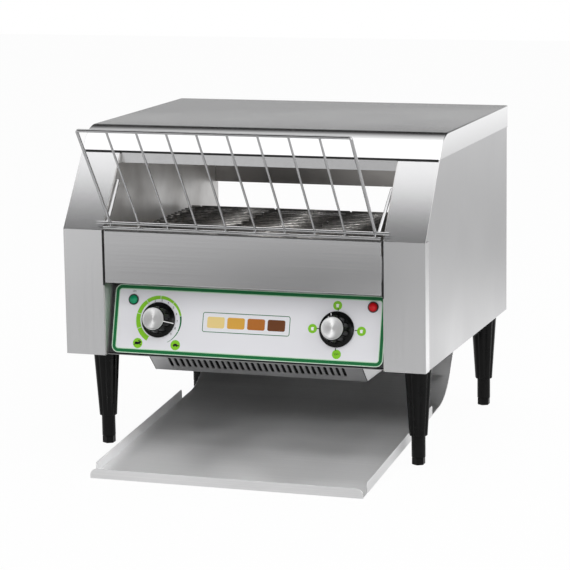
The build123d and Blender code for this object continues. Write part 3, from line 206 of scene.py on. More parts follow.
def moulded_nylon():
    """Glass-filled nylon 6, moulded black: semi-matt, spark-eroded grain 0.4 mm apart."""
    return patterned(
        "black_moulded_nylon", linear("#080808"), 0.0, 0.27,
        dict(scale=2500, detail=2.0, relief=0.00002),
        dict(scale=60, tone=(linear("#070707"), linear("#121212")), gloss=(0.24, 0.36)),
        IOR=1.4, Specular_IOR_Level=0.22)


def moulded_phenolic():
    """Compression-moulded phenolic knob: black, polished by the mould, with faint flow marks 6 mm across."""
    return patterned(
        "black_phenolic", linear("#050505"), 0.0, 0.2,
        dict(scale=180, detail=4.0, tone=(linear("#040404"), linear("#0B0B0B")), gloss=(0.15, 0.26)),
        IOR=1.4, Specular_IOR_Level=0.3)


def spun_aluminium():
    """Anodised aluminium cap, turned on a lathe: rings stretch the highlight into a bow tie."""
    return patterned("spun_anodised_aluminium", linear("#DDDDDD"), 1.0, 0.3,
                     dict(uv="turning", scale=(3, 90, 1), tone=(linear("#CFCFCF"), linear("#EDEDED"))),
                     tangent="turning", Anisotropic=0.92)


def printed_film(name, colour, roughness=0.38):
    """Polycarbonate overlay film, velvet finish, printed on its back: even colour, grain 0.5 mm."""
    return patterned(
        "printed_film_" + name, colour, 0.0, roughness,
        dict(scale=2000, detail=1.0, gloss=(roughness - 0.03, roughness + 0.05), relief=0.000006),
        IOR=1.585, Specular_IOR_Level=0.2)


def lamp_lens(name, deep, bright):
    """Moulded acrylic lens: deep at the rim and bright in the dome, the bright dome a painted highlight that
    follows how squarely the lens faces the view.
    """
    material = patterned("acrylic_painted_highlight_" + name, linear(deep), 0.0, 0.12, IOR=1.49, Specular_IOR_Level=0.3)
    tree = material.node_tree
    facing = add_node(tree, "ShaderNodeLayerWeight", {"Blend": 0.5}).outputs["Facing"]
    add_node(tree, "ShaderNodeMix", {6: linear(bright), 7: linear(deep)}, {0: facing},
             {2: tree.nodes["Principled BSDF"].inputs["Base Color"]}, data_type="RGBA")
    return material


def quartz_glass():
    """Fused quartz tube, milky by etching: pale, translucent, with a haze drawn out along the tube."""
    return patterned("etched_quartz", linear("#E8DED2"), 0.0, 0.25,
                     dict(scale=(40, 300, 300), gloss=(0.18, 0.34)), IOR=1.46, Transmission_Weight=0.55)


# Darker and lighter tone, roughness, metallic, size of the clouds in mm, grain in mm, relief in metres.
PLAIN_FINISHES = {
    # painted shade: deep black and dull, for the shadow gaps under the cover's lip and beside the front panel
    "painted_shade_under_lip": ("#050505", "#0B0B0B", 0.6, 0.0, 6.0, 0.5, 0.00001),
    "painted_shade_beside_front": ("#050505", "#0B0B0B", 0.6, 0.0, 6.0, 0.5, 0.00001),
    # zinc plate: bright with a faint mottle a few millimetres across
    "zinc_plated_screw": ("#9C9C9C", "#C4C4C4", 0.3, 1.0, 3.0, 0.5, 0.000004),
    # sintered bronze: brown, dulled by its pores and their oil
    "sintered_bronze": ("#8C6A38", "#B08A4C", 0.42, 1.0, 5.0, 0.4, 0.00001),
    # drawn resistance wire: brown-grey oxide from its first firing
    "iron_chromium_coil": ("#4A423C", "#7A6A5C", 0.5, 1.0, 4.0, 0.5, 0.00001),
    # pressed and fired steatite: cream, chalky
    "steatite_ceramic": ("#CFC8B8", "#E2DCCF", 0.6, 0.0, 8.0, 0.5, 0.00001),
    # steel bar turned and ground: even grey with a soft shine
    "turned_steel": ("#8F8F8F", "#A9A9A9", 0.32, 1.0, 20.0, 0.4, 0.00001),
    # rolled chain steel under oil: dark, blotched
    "oiled_chain_steel": ("#3A3733", "#5A564F", 0.36, 1.0, 4.0, 0.5, 0.00001),
    # stoved enamel on the motor's case: near black with a slight sheen
    "black_enamelled_motor": ("#26262A", "#34343A", 0.45, 0.0, 10.0, 0.6, 0.00001),
    # moulded glass-filled polyester: black, open grain
    "black_glass_filled_plastic": ("#141414", "#202020", 0.5, 0.0, 8.0, 0.4, 0.00002),
    # epoxy board under green solder mask: smooth, glossy
    "solder_masked_board": ("#0F4A26", "#166234", 0.35, 0.0, 5.0, 0.5, 0.00001),
    # pressed ceramic-filled resin: off-white, matt
    "ceramic_filled_terminal": ("#C9C3B3", "#DAD5C8", 0.55, 0.0, 6.0, 0.5, 0.00001),
    # paint wiped into a groove: plain white
    "white_filled_line": ("#E9E9E9", "#F6F6F6", 0.5, 0.0, 3.0, 0.3, 0.00001),
    # moulded nylon bezel: black with a low shine
    "black_lamp_bezel": ("#101010", "#1C1C1C", 0.35, 0.0, 3.0, 0.3, 0.00001),
    # painted shade: black without shine, for the shade inside the vent box and along its ends
    "painted_shade_in_vent": ("#060606", "#0E0E0E", 0.7, 0.0, 8.0, 0.5, 0.00001),
}


def plain_finish(name):
    """Painted, cast or moulded finish: clouds of tone of one size over an even grain."""
    low, high, roughness, metallic, cloud_mm, grain_mm, relief = PLAIN_FINISHES[name]
    return patterned(
        name, linear(low), metallic, roughness,
        dict(scale=1000 / cloud_mm, tone=(linear(low), linear(high)),
             gloss=(roughness - 0.06, roughness + 0.08)),
        dict(scale=1000 / grain_mm, relief=relief))


# ---------------------------------------------------------------- shapes
def in_frame(shape):
    """Shape drawn in millimetres from the middle of the posts' front face, in metres in the frame."""
    points, faces = shape
    return points * MM + (0.0, FRONT, 0.0), faces


def surface(grid, wrap=False):
    """Mesh of a grid of points P(u, v): one vertex for each point, one quad for each cell. Wrapped, its
    last column is joined to its first."""
    rows, cols = grid.shape[:2]
    index = np.arange(rows * cols).reshape(rows, cols)
    if wrap:
        index = np.hstack([index, index[:, :1]])
    quads = np.stack([index[:-1, :-1], index[:-1, 1:], index[1:, 1:], index[1:, :-1]], -1)
    return grid.reshape(-1, 3), [quads.reshape(-1, 4)]


def capped(shape, count):
    """Shape whose first and last rings, of a count of points each, are closed by flat faces."""
    points, faces = shape
    ring = np.arange(count)[None]
    return points, faces + [ring[:, ::-1], ring + len(points) - count]


def drawn_out(outline, axis, start, end):
    """Closed outline in two coordinates, carried along the third from start to end: P(t, v) = (v, t)."""
    return surface(np.stack([np.insert(outline, axis, level, axis=1) for level in (start, end)]), wrap=True)


def joined(shapes):
    """Several shapes as one: each shape's faces are counted on from the vertices before it."""
    starts = np.cumsum([0] + [len(points) for points, _ in shapes])
    faces = [block + start for (_, blocks), start in zip(shapes, starts) for block in blocks]
    return np.concatenate([points for points, _ in shapes]), faces


def turned_about(shape, origin, x_axis, y_axis, z_axis):
    """P = origin + x X + y Y + z Z."""
    points, faces = shape
    return np.asarray(origin) + points @ np.array([x_axis, y_axis, z_axis], float), faces


def moved(shape, x, y):
    """P + (x, y, 0)."""
    points, faces = shape
    return points + (x, y, 0.0), faces


def unit(vectors):
    """v / |v| for each vector of an array."""
    return vectors / np.linalg.norm(vectors, axis=-1, keepdims=True)


def rounded(corners, radius, steps=8):
    """Line whose inner corners become arcs. The arc starts r tan(turn / 2) before the corner,
    and its points are c + (sin((1 - s) turn) v0 + sin(s turn) v1) / sin(turn)."""
    corners = np.asarray(corners, float)
    here = corners[1:-1]
    back, ahead = unit(corners[:-2] - here), unit(corners[2:] - here)
    turn = np.pi - np.arccos(np.clip((back * ahead).sum(-1, keepdims=True), -1, 1))
    run = radius * np.tan(turn / 2)
    centre = here + unit(back + ahead) * radius / np.cos(turn / 2)
    first, last = here + back * run - centre, here + ahead * run - centre
    s = np.linspace(0, 1, steps + 1)[None, :, None]
    turn = turn[:, None, :]
    arc = (np.sin((1 - s) * turn) * first[:, None] + np.sin(s * turn) * last[:, None]) / np.sin(turn)
    arcs = (centre[:, None] + arc).reshape(-1, corners.shape[1])
    return np.concatenate([corners[:1], arcs, corners[-1:]])


def dense(line):
    """Line with a point added at the middle of each run, so that its ends keep their direction."""
    line = np.asarray(line, float)
    full = np.empty((2 * len(line) - 1, line.shape[1]))
    full[::2], full[1::2] = line, (line[1:] + line[:-1]) / 2
    return full


def tube(line, radius, sides=12, plane=(0, 0, 1)):
    """Wire along a line: P(t, a) = c(t) + r (cos a n(t) + sin a b(t)), with b square to the line and to
    a plane's normal, and n square to both."""
    line = np.asarray(line, float)
    along = unit(np.gradient(line, axis=0))
    side = unit(np.cross(along, np.asarray(plane, float)))
    up = np.cross(side, along)
    a = np.linspace(0, 2 * np.pi, sides, endpoint=False)[None, :, None]
    grid = line[:, None] + radius * (np.cos(a) * up[:, None] + np.sin(a) * side[:, None])
    return capped(surface(grid, wrap=True), sides)


def lathe(profile, sides, depth=0.0, waves=0, sharp=2.0, phase=0.0):
    """Turned shape P(t, a) = (r cos a, r sin a, z), closed flat at both ends. Flutes take
    depth(t) ((1 + cos(waves (a - phase))) / 2) ** sharp off the radius."""
    profile = np.asarray(profile, float)
    a = np.linspace(0, 2 * np.pi, sides, endpoint=False)
    wave = ((1 + np.cos(waves * (a - phase))) / 2) ** sharp
    radius = profile[:, :1] - np.broadcast_to(depth, len(profile))[:, None] * wave[None]
    height = np.repeat(profile[:, 1:], sides, 1)
    return capped(surface(np.stack([radius * np.cos(a), radius * np.sin(a), height], -1), wrap=True), sides)


def folded(profile, thickness, x0, x1):
    """Sheet along a line (y, z): the line and the same line moved by its thickness along its left
    normal, carried across from x0 to x1."""
    profile = np.asarray(profile, float)
    normal = unit(np.gradient(profile, axis=0))[:, ::-1] * (-1, 1)
    points, faces = drawn_out(np.concatenate([profile, (profile + normal * thickness)[::-1]]), 0, x0, x1)
    last = 2 * len(profile) - 1
    i = np.arange(len(profile) - 1)
    cap = np.stack([i, i + 1, last - 1 - i, last - i], -1)
    return points, faces + [cap[:, ::-1], cap + last + 1]


def flat(outline):
    """Flat face inside a closed outline (x, y), at z = 0."""
    return np.insert(np.asarray(outline, float), 2, 0.0, axis=1), [np.arange(len(outline))[None]]


def band(outer, inner, closed=True):
    """Flat strip between two lines (x, y) with as many points each, at z = 0."""
    return surface(np.insert(np.stack([outer, inner]), 2, 0.0, axis=2), wrap=closed)


def arc_points(radius, a):
    """r (cos a, sin a)."""
    return radius * np.stack([np.cos(a), np.sin(a)], -1)


def ellipse(cx, cy, rx, ry, turn=0.0, start=0.0, end=360.0, count=32):
    """Points of an ellipse: c + R(turn) (rx cos a, ry sin a)."""
    a = np.radians(np.linspace(start, end, count, endpoint=end - start < 360))
    x, y = rx * np.cos(a), ry * np.sin(a)
    t = math.radians(turn)
    return np.stack([cx + x * math.cos(t) - y * math.sin(t), cy + x * math.sin(t) + y * math.cos(t)], -1)


def round_rectangle(width, height, radius):
    """Rectangle with quarter circles at its corners, from the right-hand side anticlockwise."""
    quarter = arc_points(radius, np.linspace(0, np.pi / 2, 10))
    x, y = width / 2 - radius, height / 2 - radius
    corners = []
    for corner in ((x, y), (-x, y), (-x, -y), (x, -y)):
        corners.append(quarter + corner)
        quarter = quarter @ np.array([[0, 1], [-1, 0]])
    return np.concatenate(corners)


def rounded_band(width, height, radius, inset):
    """Strip inside the edge of a rounded rectangle, as wide as its inset."""
    inner = round_rectangle(width - 2 * inset, height - 2 * inset, max(radius - inset, 0.5))
    return band(round_rectangle(width, height, radius), inner)


def stadium(width, length):
    """Slot outline: two half circles joined by straight sides, anticlockwise from the right."""
    arc = arc_points(width / 2, np.linspace(0, np.pi, 9))
    offset = (0, (length - width) / 2)
    return np.concatenate([arc + offset, -arc - offset])


# ---------------------------------------------------------------- pieces
def new_object(name, data):
    """Object at the world origin, linked to the scene."""
    made = bpy.data.objects.new(name, data)
    bpy.context.scene.collection.objects.link(made)
    return made


def values_of(items, attribute, width=1, kind=float):
    """One attribute of all the items of a mesh, as an array of that width."""
    values = np.empty(len(items) * width, kind)
    items.foreach_get(attribute, values)
    return values.reshape(-1, width) if width > 1 else values


def piece(name, shape, body, material, smooth=35.0, closed=True):
    """Object with a shape's mesh, in metres in the frame, that rides on a body."""
    points, blocks = shape
    mesh = bpy.data.meshes.new(name)
    mesh.from_pydata(points.tolist(), [], [face for block in blocks for face in block.tolist()])
    if closed:
        solid = bmesh.new()
        solid.from_mesh(mesh)
        bmesh.ops.recalc_face_normals(solid, faces=solid.faces)
        solid.to_mesh(mesh)
        solid.free()
    mesh.shade_smooth()
    mesh.set_sharp_from_angle(angle=math.radians(smooth))
    mesh.materials.append(material)
    made = new_object(name, mesh)
    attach(made, body)
    return made


def point_outwards(made, direction):
    """Turns an open sheet's faces over when their normals, added up, look away from a direction."""
    faces = made.data.polygons
    normal = (values_of(faces, "normal", 3) * values_of(faces, "area")[:, None]).sum(0)
    if normal @ np.asarray(direction, float) < 0:
        made.data.flip_normals()


def break_edges(made, width, angle):
    """Rounds off the edges of a piece that are sharper than an angle, by a width in millimetres."""
    edge = made.modifiers.new("edge", "BEVEL")
    edge.width, edge.segments = width * MM, 2
    edge.limit_method, edge.angle_limit = "ANGLE", math.radians(angle)
    edge.harden_normals = True


def finished_copies(material, slot, width, *nodes):
    """Copies of frame nodes with merged vertices and their edges broken by a round, in millimetres."""
    for node in nodes:
        mesh = NODES[node].data.copy()
        solid = bmesh.new()
        solid.from_mesh(mesh)
        bmesh.ops.remove_doubles(solid, verts=solid.verts, dist=0.00001)
        bmesh.ops.dissolve_limit(solid, angle_limit=math.radians(1), verts=solid.verts, edges=solid.edges)
        solid.to_mesh(mesh)
        solid.free()
        mesh.shade_smooth()
        mesh.set_sharp_from_angle(angle=math.radians(30))
        mesh.materials.clear()
        mesh.materials.append(material)
        made = new_object(node + "_finished", mesh)
        break_edges(made, width, 30)
        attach(made, NODES[node]["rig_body"])
        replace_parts(made, node)


# ---------------------------------------------------------------- sizes and colours a user may change
class ToasterSizes(bpy.types.PropertyGroup):
    """Sizes of the finished surfaces."""

    cover_edge: bpy.props.FloatProperty(
        name="Cover edge", description="Radius of the cover's folded edges", default=0.0016, unit="LENGTH")
    fold_edge: bpy.props.FloatProperty(
        name="Fold edge", description="Round on the edges of the other sheets", default=0.0004, unit="LENGTH")
    belt_wire: bpy.props.FloatProperty(
        name="Belt wire", description="Diameter of the belt's wires", default=0.002, unit="LENGTH")
    rack_frame: bpy.props.FloatProperty(
        name="Rack frame", description="Diameter of the rack's frame rods", default=0.004, unit="LENGTH")
    rack_rod: bpy.props.FloatProperty(
        name="Rack rods", description="Diameter of the rods for the bread", default=0.0028, unit="LENGTH")
    slot_width: bpy.props.FloatProperty(
        name="Vent slots", description="Width of the slots in the vent box", default=0.0041, unit="LENGTH")
    coil_turns: bpy.props.IntProperty(
        name="Heater coil turns", description="Turns of wire in each quartz tube", default=56, min=10)
    digits: bpy.props.FloatProperty(
        name="Dial digits", description="Height of the dial's numbers", default=0.0029, unit="LENGTH")


class ToasterColours(bpy.types.PropertyGroup):
    """Colours of the prints and the floor."""

    film: bpy.props.FloatVectorProperty(
        name="Panel film", description="Field of the control panel's film", subtype="COLOR",
        size=4, min=0, max=1, default=linear("#E6E6EA"))
    border: bpy.props.FloatVectorProperty(
        name="Border green", description="Printed border of the film", subtype="COLOR",
        size=4, min=0, max=1, default=linear("#006B36"))
    dial: bpy.props.FloatVectorProperty(
        name="Dial green", description="Printed speed arc and symbol discs", subtype="COLOR",
        size=4, min=0, max=1, default=linear("#82C81E"))
    ink: bpy.props.FloatVectorProperty(
        name="Ink", description="Printed numbers and lines", subtype="COLOR",
        size=4, min=0, max=1, default=linear("#141414"))
    floor: bpy.props.FloatVectorProperty(
        name="Floor", description="Floor under the toaster", subtype="COLOR",
        size=4, min=0, max=1, default=linear("#EDEDED"))


# ---------------------------------------------------------------- casing
COVER_LOW, COVER_HIGH = box_mm("top_cover")
HALF, REAR, TOP = COVER_HIGH
LIP = COVER_LOW[2]
LEAN = math.radians(53.7)  # slope of the hood's front over the table
HOOD_RADIUS = 43.0
HOOD_LIP = 13.6  # straight run of the slope above the lip
SLOPE_FOOT = 288.8  # height where the slope's line meets the posts' front face
SLOPE_ALONG = np.array([math.cos(LEAN), math.sin(LEAN)])
SLOPE_SQUARE = np.array([-math.sin(LEAN), math.cos(LEAN)])
SHEET = 1.0


def hood_line(depth, corner):
    """Side view (y, z) of the cover a depth under its skin, from the lip up the slope, round the bend
    c + R (-sin a, cos a), along the top, round the rear corner and down the back."""
    lip = (COVER_LOW[1] + depth / math.sin(LEAN), LIP)
    centre = (COVER_LOW[1] + HOOD_LIP * math.cos(LEAN) + HOOD_RADIUS * math.sin(LEAN), TOP - HOOD_RADIUS)
    bend = centre + arc_points(HOOD_RADIUS - depth, np.pi / 2 + np.linspace(LEAN, 0, 14))
    back = (REAR - corner, TOP - corner) + arc_points(corner - depth, np.linspace(np.pi / 2, 0, 6))
    return np.concatenate([[lip], bend, back, [(REAR - depth, LIP)]])


def cover_skin(edge):
    """Cover as one skin: P(t, v) = (x(v), p(t) - n(t) d(v)). The side view p(t) runs over the hood
    and v runs across it: up the left flange, over a folded edge of radius r with x = w - r + r sin a
    and d = r - r cos a, straight across, and down again on the right."""
    line, deep = hood_line(0.0, edge + 0.1), hood_line(edge, edge + 0.1)
    normal = (line - deep) / edge
    a = np.linspace(np.pi / 2, 0, 6)
    fold, sink = HALF - edge + edge * np.sin(a), edge - edge * np.cos(a)
    x = np.concatenate([[-HALF], -fold, fold[::-1], [HALF]])
    depth = np.concatenate([[edge], sink, sink[::-1], [edge]])
    side = line[:, None] - normal[:, None] * depth[None, :, None]
    side[:, [0, -1], 1] = LIP
    across = np.broadcast_to(x[None, :, None], (*side.shape[:2], 1))
    return surface(np.concatenate([across, side], -1))


class TOASTER_OT_cover(bpy.types.Operator):
    """Adds the hood that covers the casing, folded down on its two sides and at the back."""

    bl_idname = "toaster.cover"
    bl_label = "Top cover"

    def execute(self, context):
        skin = in_frame(cover_skin(context.scene.toaster_sizes.cover_edge / MM))
        steel = brushed_steel("satin_stainless_cover", "#E4E4E5", 0.2, "x", 0.03, 0.02)
        cover = piece("top_cover_skin", skin, "casing", steel, closed=False)
        point_outwards(cover, (0, 0, 1))
        sheet = cover.modifiers.new("sheet", "SOLIDIFY")
        sheet.thickness, sheet.offset = SHEET * MM, -1.0
        break_edges(cover, 0.2, 50)
        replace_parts(cover, "top_cover")
        # a black bead 2.8 mm thick just under the lip, with a third of it sunk into the slope: painted shade
        # for the shadow gap under the cover's lip
        seat = np.array([(LIP - SLOPE_FOOT) / math.tan(LEAN), LIP]) - 1.5 * SLOPE_ALONG + 0.4 * SLOPE_SQUARE
        bead = tube(dense([(-HALF + 1.5, *seat), (HALF - 1.5, *seat)]), 1.4)
        piece("cover_lip_painted_shade", in_frame(bead), "casing", plain_finish("painted_shade_under_lip"))
        return {"FINISHED"}


class TOASTER_OT_casing(bpy.types.Operator):
    """Adds the folded sheets round the casing: posts, sides, front, rear, floor and strip."""

    bl_idname = "toaster.casing"
    bl_label = "Casing sheets"

    def execute(self, context):
        edge = context.scene.toaster_sizes.fold_edge / MM
        post = brushed_steel("brushed_stainless_post", "#D6D6D7", 0.25, "z", 0.06, 0.015)
        side = brushed_steel("brushed_stainless_side", "#C2C2C3", 0.35, "z", 0.06)
        front = brushed_steel("brushed_stainless_front", "#C2C2C3", 0.25, "x", 0.1, 0.015)
        dull = brushed_steel("brushed_stainless_inside", "#ADADAD", 0.36)
        # painted shade: the control panel's steel is a near black copy of the sheet, for the shade round the
        # film in its recess
        shade_round_film = brushed_steel("stainless_painted_shade_round_film", "#3E3E3F", 0.36)
        for steel, width, *nodes in (
                (post, 2.5 * edge, "post_cover_left", "post_cover_right"),
                (side, edge, "side_panel_left", "side_panel_right"),
                (front, edge, "front_panel"), (post, edge, "hood_strip"), (shade_round_film, edge, "control_panel"),
                (dull, edge, "rear_panel", "base_plate", "rear_chute", "tray_rest")):
            finished_copies(steel, "casing_steel", width, *nodes)
        # painted shade: black strips 0.5 mm thick that show beside the front panel, 0.7 mm under it and 1.3
        # mm beyond it, for the shadow gaps at its two ends
        low, high = box_mm("front_panel")
        line = [(0.4, low[2] - 3.0), (0.4, high[2])]
        spans = ((-high[0] - 1.3, -high[0] + 0.7), (high[0] - 0.7, high[0] + 1.3))
        shade_strips = joined([folded(line, 0.5, *span) for span in spans])
        piece("front_panel_painted_shade", in_frame(shade_strips), "casing", plain_finish("painted_shade_beside_front"))
        return {"FINISHED"}


def screw_heads(places):
    """Dome-headed screws that face the rear: r = 3.6 cos a, h = 0.9 sin a, turned about y at each place."""
    a = np.linspace(0, np.pi / 2 - 0.25, 6)
    dome = lathe(arc_points(1.0, a) * (3.6, 0.9), 20)
    out, across = (0.0, 1.0, 0.0), unit(np.array([0.93, 0.0, -0.31]))
    return joined([turned_about(dome, place, across, np.cross(out, across), out) for place in places])


class TOASTER_OT_screws(bpy.types.Operator):
    """Adds the screws that hold the rear panel and the back of the cover."""

    bl_idname = "toaster.screws"
    bl_label = "Screws"

    def execute(self, context):
        places = [(x, REAR - 1, z) for x in (-222, -192, 192, 222) for z in (140, 340)]
        places += [(x, REAR, 392) for x in (-210, -70, 70, 210)]
        zinc = plain_finish("zinc_plated_screw")
        piece("casing_screws", in_frame(screw_heads(places)), "casing", zinc)
        return {"FINISHED"}


# ---------------------------------------------------------------- chamber
class TOASTER_OT_chamber(bpy.types.Operator):
    """Adds the chamber: liners, roof, reflector, belt rails and bearings."""

    bl_idname = "toaster.chamber"
    bl_label = "Toasting chamber"

    def execute(self, context):
        edge = context.scene.toaster_sizes.fold_edge / MM
        liner = heat_stained_steel()
        finished_copies(liner, "inner_steel", edge / 2, "liner_left", "liner_right")
        bright = aluminised_steel_and_shade()
        finished_copies(bright, "aluminised", edge, "chamber_roof", "lower_reflector", "heat_shield")
        finished_copies(liner, "inner_steel", edge, "belt_support_frame")
        finished_copies(plain_finish("sintered_bronze"), "bush", edge, "shaft_bearings")
        return {"FINISHED"}


def quartz_tube(y, z, half, radius):
    """Tube with ends rounded to 1.2 mm: a line of radii turned about the x axis."""
    end = (radius - 1.2, half - 1.2) + arc_points(1.2, np.linspace(0, np.pi / 2, 6))
    profile = np.concatenate([end[::-1] * (1, -1), end])
    return turned_about(lathe(profile, 28), (0, y, z), (0, 1, 0), (0, 0, 1), (1, 0, 0))


def coil(y, z, half, radius, turns):
    """Heating wire: (x, r cos wt, r sin wt), with x running evenly along the tube."""
    t = np.linspace(0, 1, turns * 12 + 1)
    ring = (y, z) + arc_points(radius, 2 * np.pi * turns * t)
    return tube(np.column_stack([(2 * t - 1) * half, ring]), 0.5, 4, plane=(1, 0, 0))


class TOASTER_OT_heaters(bpy.types.Operator):
    """Adds the quartz heaters with their coils, and the ceramic holders."""

    bl_idname = "toaster.heaters"
    bl_label = "Heaters"

    def execute(self, context):
        turns = context.scene.toaster_sizes.coil_turns
        quartz, wire = quartz_glass(), plain_finish("iron_chromium_coil")
        for node in ("upper_heaters", "lower_heaters"):
            low, high = box_mm(node)
            radius, half, z = (high[2] - low[2]) / 2, high[0], (high[2] + low[2]) / 2
            rows = np.linspace(low[1] + radius, high[1] - radius, 3)
            tubes = joined([quartz_tube(y, z, half, radius) for y in rows])
            # each coil ends 26 mm inside its tube and leaves 1.6 mm for the glass
            coils = joined([coil(y, z, half - 26, radius - 1.6, turns) for y in rows])
            made = piece(node + "_tubes", in_frame(tubes), "casing", quartz)
            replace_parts(made, node)
            piece(node + "_coils", in_frame(coils), "casing", wire, smooth=80)
        finished_copies(plain_finish("steatite_ceramic"), "ceramic", 0.6, "heater_holders")
        return {"FINISHED"}


# ---------------------------------------------------------------- belt
BELT_PITCH, BELT_TEETH = 12.7, 12
SPROCKET_RADIUS = BELT_PITCH / (2 * math.sin(math.pi / BELT_TEETH))
LOOP_COLUMNS = (-159.0, -53.0, 53.0, 159.0)
LOOP_HALF = 1.6  # half the width of a loop
LOOP_STAGGER = 2.2  # how far every other wire's loops lie to one side of their column


def strand_line(half, stagger, wire):
    """Line of one belt wire (x, s, h): straight across, and at each column a loop that runs one pitch
    ahead, dips under the next wire, 0.1 mm clear of it, and hooks up in front of it, 0.2 mm clear."""
    dip, ahead = -2 * wire - 0.1, BELT_PITCH + 2 * wire + 0.2
    side = np.array([(-1.0, 0.0, 0.0), (-1.0, BELT_PITCH * 0.35, 0.4 * dip), (-1.0, BELT_PITCH * 0.8, dip),
                     (-1.0, BELT_PITCH + 0.6 * wire, dip), (-0.8, ahead, 0.35 * dip)]) * (LOOP_HALF, 1, 1)
    loop = np.concatenate([side, side[::-1] * (-1, 1, 1)])
    loops = [loop + (x + stagger * LOOP_STAGGER, 0, 0) for x in LOOP_COLUMNS]
    return np.concatenate([[(-half, 0, 0)], *loops, [(half, 0, 0)]])


def belt_strands(places, half, wire):
    """Wires at places (y, z, direction, stagger): the line (x, s, h) turned so that s points to the next
    wire, P = (x, y + s cos a - h sin a, z + s sin a + h cos a)."""
    strands = []
    for y, z, direction, stagger in places:
        a = math.radians(direction)
        x, s, h = strand_line(half, stagger, wire).T
        line = np.stack([x, y + s * math.cos(a) - h * math.sin(a), z + s * math.sin(a) + h * math.cos(a)], -1)
        strands.append(tube(line, wire, 6, plane=(0, -math.sin(a), math.cos(a))))
    return joined(strands)


class TOASTER_OT_belt(bpy.types.Operator):
    """Adds the belt of bent wires, each hooked round the next at four columns."""

    bl_idname = "toaster.belt"
    bl_label = "Wire belt"

    def execute(self, context):
        wire = context.scene.toaster_sizes.belt_wire / MM / 2
        half = box_mm("belt_upper_run")[1][0]
        (rear, shaft_z), (front, _) = joint_mm("drive_shaft_turn"), joint_mm("idler_shaft_turn")
        pitches, wrapped = round((rear - front) / BELT_PITCH), BELT_TEETH // 2
        hand = (-1) ** pitches
        top, bottom = shaft_z + SPROCKET_RADIUS, shaft_z - SPROCKET_RADIUS
        upper = [(front + i * BELT_PITCH, top, 0.0, hand * (-1) ** i) for i in range(1, pitches)]
        lower = [(rear - i * BELT_PITCH, bottom, 180.0, (-1) ** i) for i in range(1, pitches)]
        wraps = []
        for shaft, first, stagger in ((rear, 90, 1), (front, -90, hand)):
            for i in range(wrapped + 1):
                angle = first - i * 360 / BELT_TEETH
                y, z = (shaft, shaft_z) + arc_points(SPROCKET_RADIUS, math.radians(angle))
                lead = 90 if i == wrapped else 90 + 180 / BELT_TEETH
                wraps.append((y, z, angle - lead, stagger * (-1) ** i))
        steel = oxidised_wire()
        for node, places in (("belt_upper_run", upper), ("belt_lower_run", lower), ("belt_wraps", wraps)):
            strands = in_frame(belt_strands(places, half, wire))
            made = piece(node + "_wires", strands, "casing", steel, smooth=60)
            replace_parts(made, node)
        return {"FINISHED"}


# ---------------------------------------------------------------- drive and controls inside
class TOASTER_OT_works(bpy.types.Operator):
    """Finishes the drive, the fan and the electrical parts inside the casing."""

    bl_idname = "toaster.works"
    bl_label = "Drive and electrics"

    def execute(self, context):
        turned, oiled, enamel, black, epoxy, pale = map(plain_finish, (
            "turned_steel", "oiled_chain_steel", "black_enamelled_motor", "black_glass_filled_plastic",
            "solder_masked_board", "ceramic_filled_terminal"))
        for material, slot, *nodes in (
                (turned, "shaft_steel", "drive_shaft", "idler_shaft", "drive_sprockets", "idler_rollers",
                 "chain_sprocket", "motor_sprocket", "speed_spindle", "selector_spindle"),
                (oiled, "chain_steel", "drive_chain"), (enamel, "motor", "gear_motor"),
                (black, "fan_plastic", "fan_frame", "fan_impeller"), (epoxy, "board", "control_board"),
                (black, "control_case", "speed_potentiometer", "selector_switch"),
                (pale, "terminal", "terminal_block"), (black, "gland", "cable_gland")):
            finished_copies(material, slot, 0.2, *nodes)
        return {"FINISHED"}


# ---------------------------------------------------------------- control panel
PANEL_NORMAL = np.array(JOINTS["speed_knob_turn"]["axis"], float)
PANEL_UP = np.array([0.0, PANEL_NORMAL[2], -PANEL_NORMAL[1]])
PANEL_FOOT, PANEL_TILT = 130.2, math.radians(15.5)
FILM = 0.5  # thickness of the overlay film
FILM_TOP = 88.4
DIAL_ANGLES = (134.5, 113, 91.5, 70, 48.5, 27, 5.5, -16, -37.5)  # clockwise from up, for 9 down to 1


def rise(height):
    """Distance up the panel's face to a height above the table, in millimetres."""
    return (height - PANEL_FOOT) / math.cos(PANEL_TILT)


def knob_centre(name):
    """Where a knob's axis starts, in metres in the frame."""
    return np.array(JOINTS[name + "_knob_turn"]["pos_m"], float)


KNOB_X, KNOB_RISE = 117.0, rise(174.0)
PANEL_ORIGIN = knob_centre("speed") * (0, 1, 1) - PANEL_UP * KNOB_RISE * MM  # foot of the face, at the middle
BREAD_TOP, BREAD_LEFT, BREAD_RIGHT = (115.9, rise(202.3)), (85.7, rise(173.5)), (148.5, rise(173.3))
HARE_PLACE, TORTOISE_PLACE, OFF_PLACE = (-143.2, rise(144.7)), (-92.5, rise(144.7)), (118.6, rise(144.6))
SCALE_PLACE = (-1, rise(174.5))

# Ellipses (centre x, y, half width, half height, turn, start, end) that add up to an animal.
HARE = ((0, 0, 2.5, 1.15, 8), (-1.5, 0.1, 1.3, 1.2), (2.5, 1.0, 0.95, 0.7, 20), (1.5, 2.1, 0.3, 1.1, 50),
        (1.0, 1.8, 0.28, 1.0, 62), (2.4, -1.1, 1.1, 0.28, -25), (-2.6, -1.1, 1.1, 0.3, 30))
TORTOISE = ((0, -0.9, 2.5, 2.3, 0, 0, 180), (2.9, -0.5, 0.8, 0.6, 20), (-1.3, -1.2, 0.6, 0.45),
            (1.3, -1.2, 0.6, 0.45))


def on_panel(shape, centre, out=0.0):
    """Shape drawn in millimetres on the panel: x across, y up its face, z out of it, from a distance
    out of the centre."""
    points, faces = shape
    origin = centre + PANEL_NORMAL * out * MM
    return turned_about((points * MM, faces), origin, (1, 0, 0), PANEL_UP, PANEL_NORMAL)


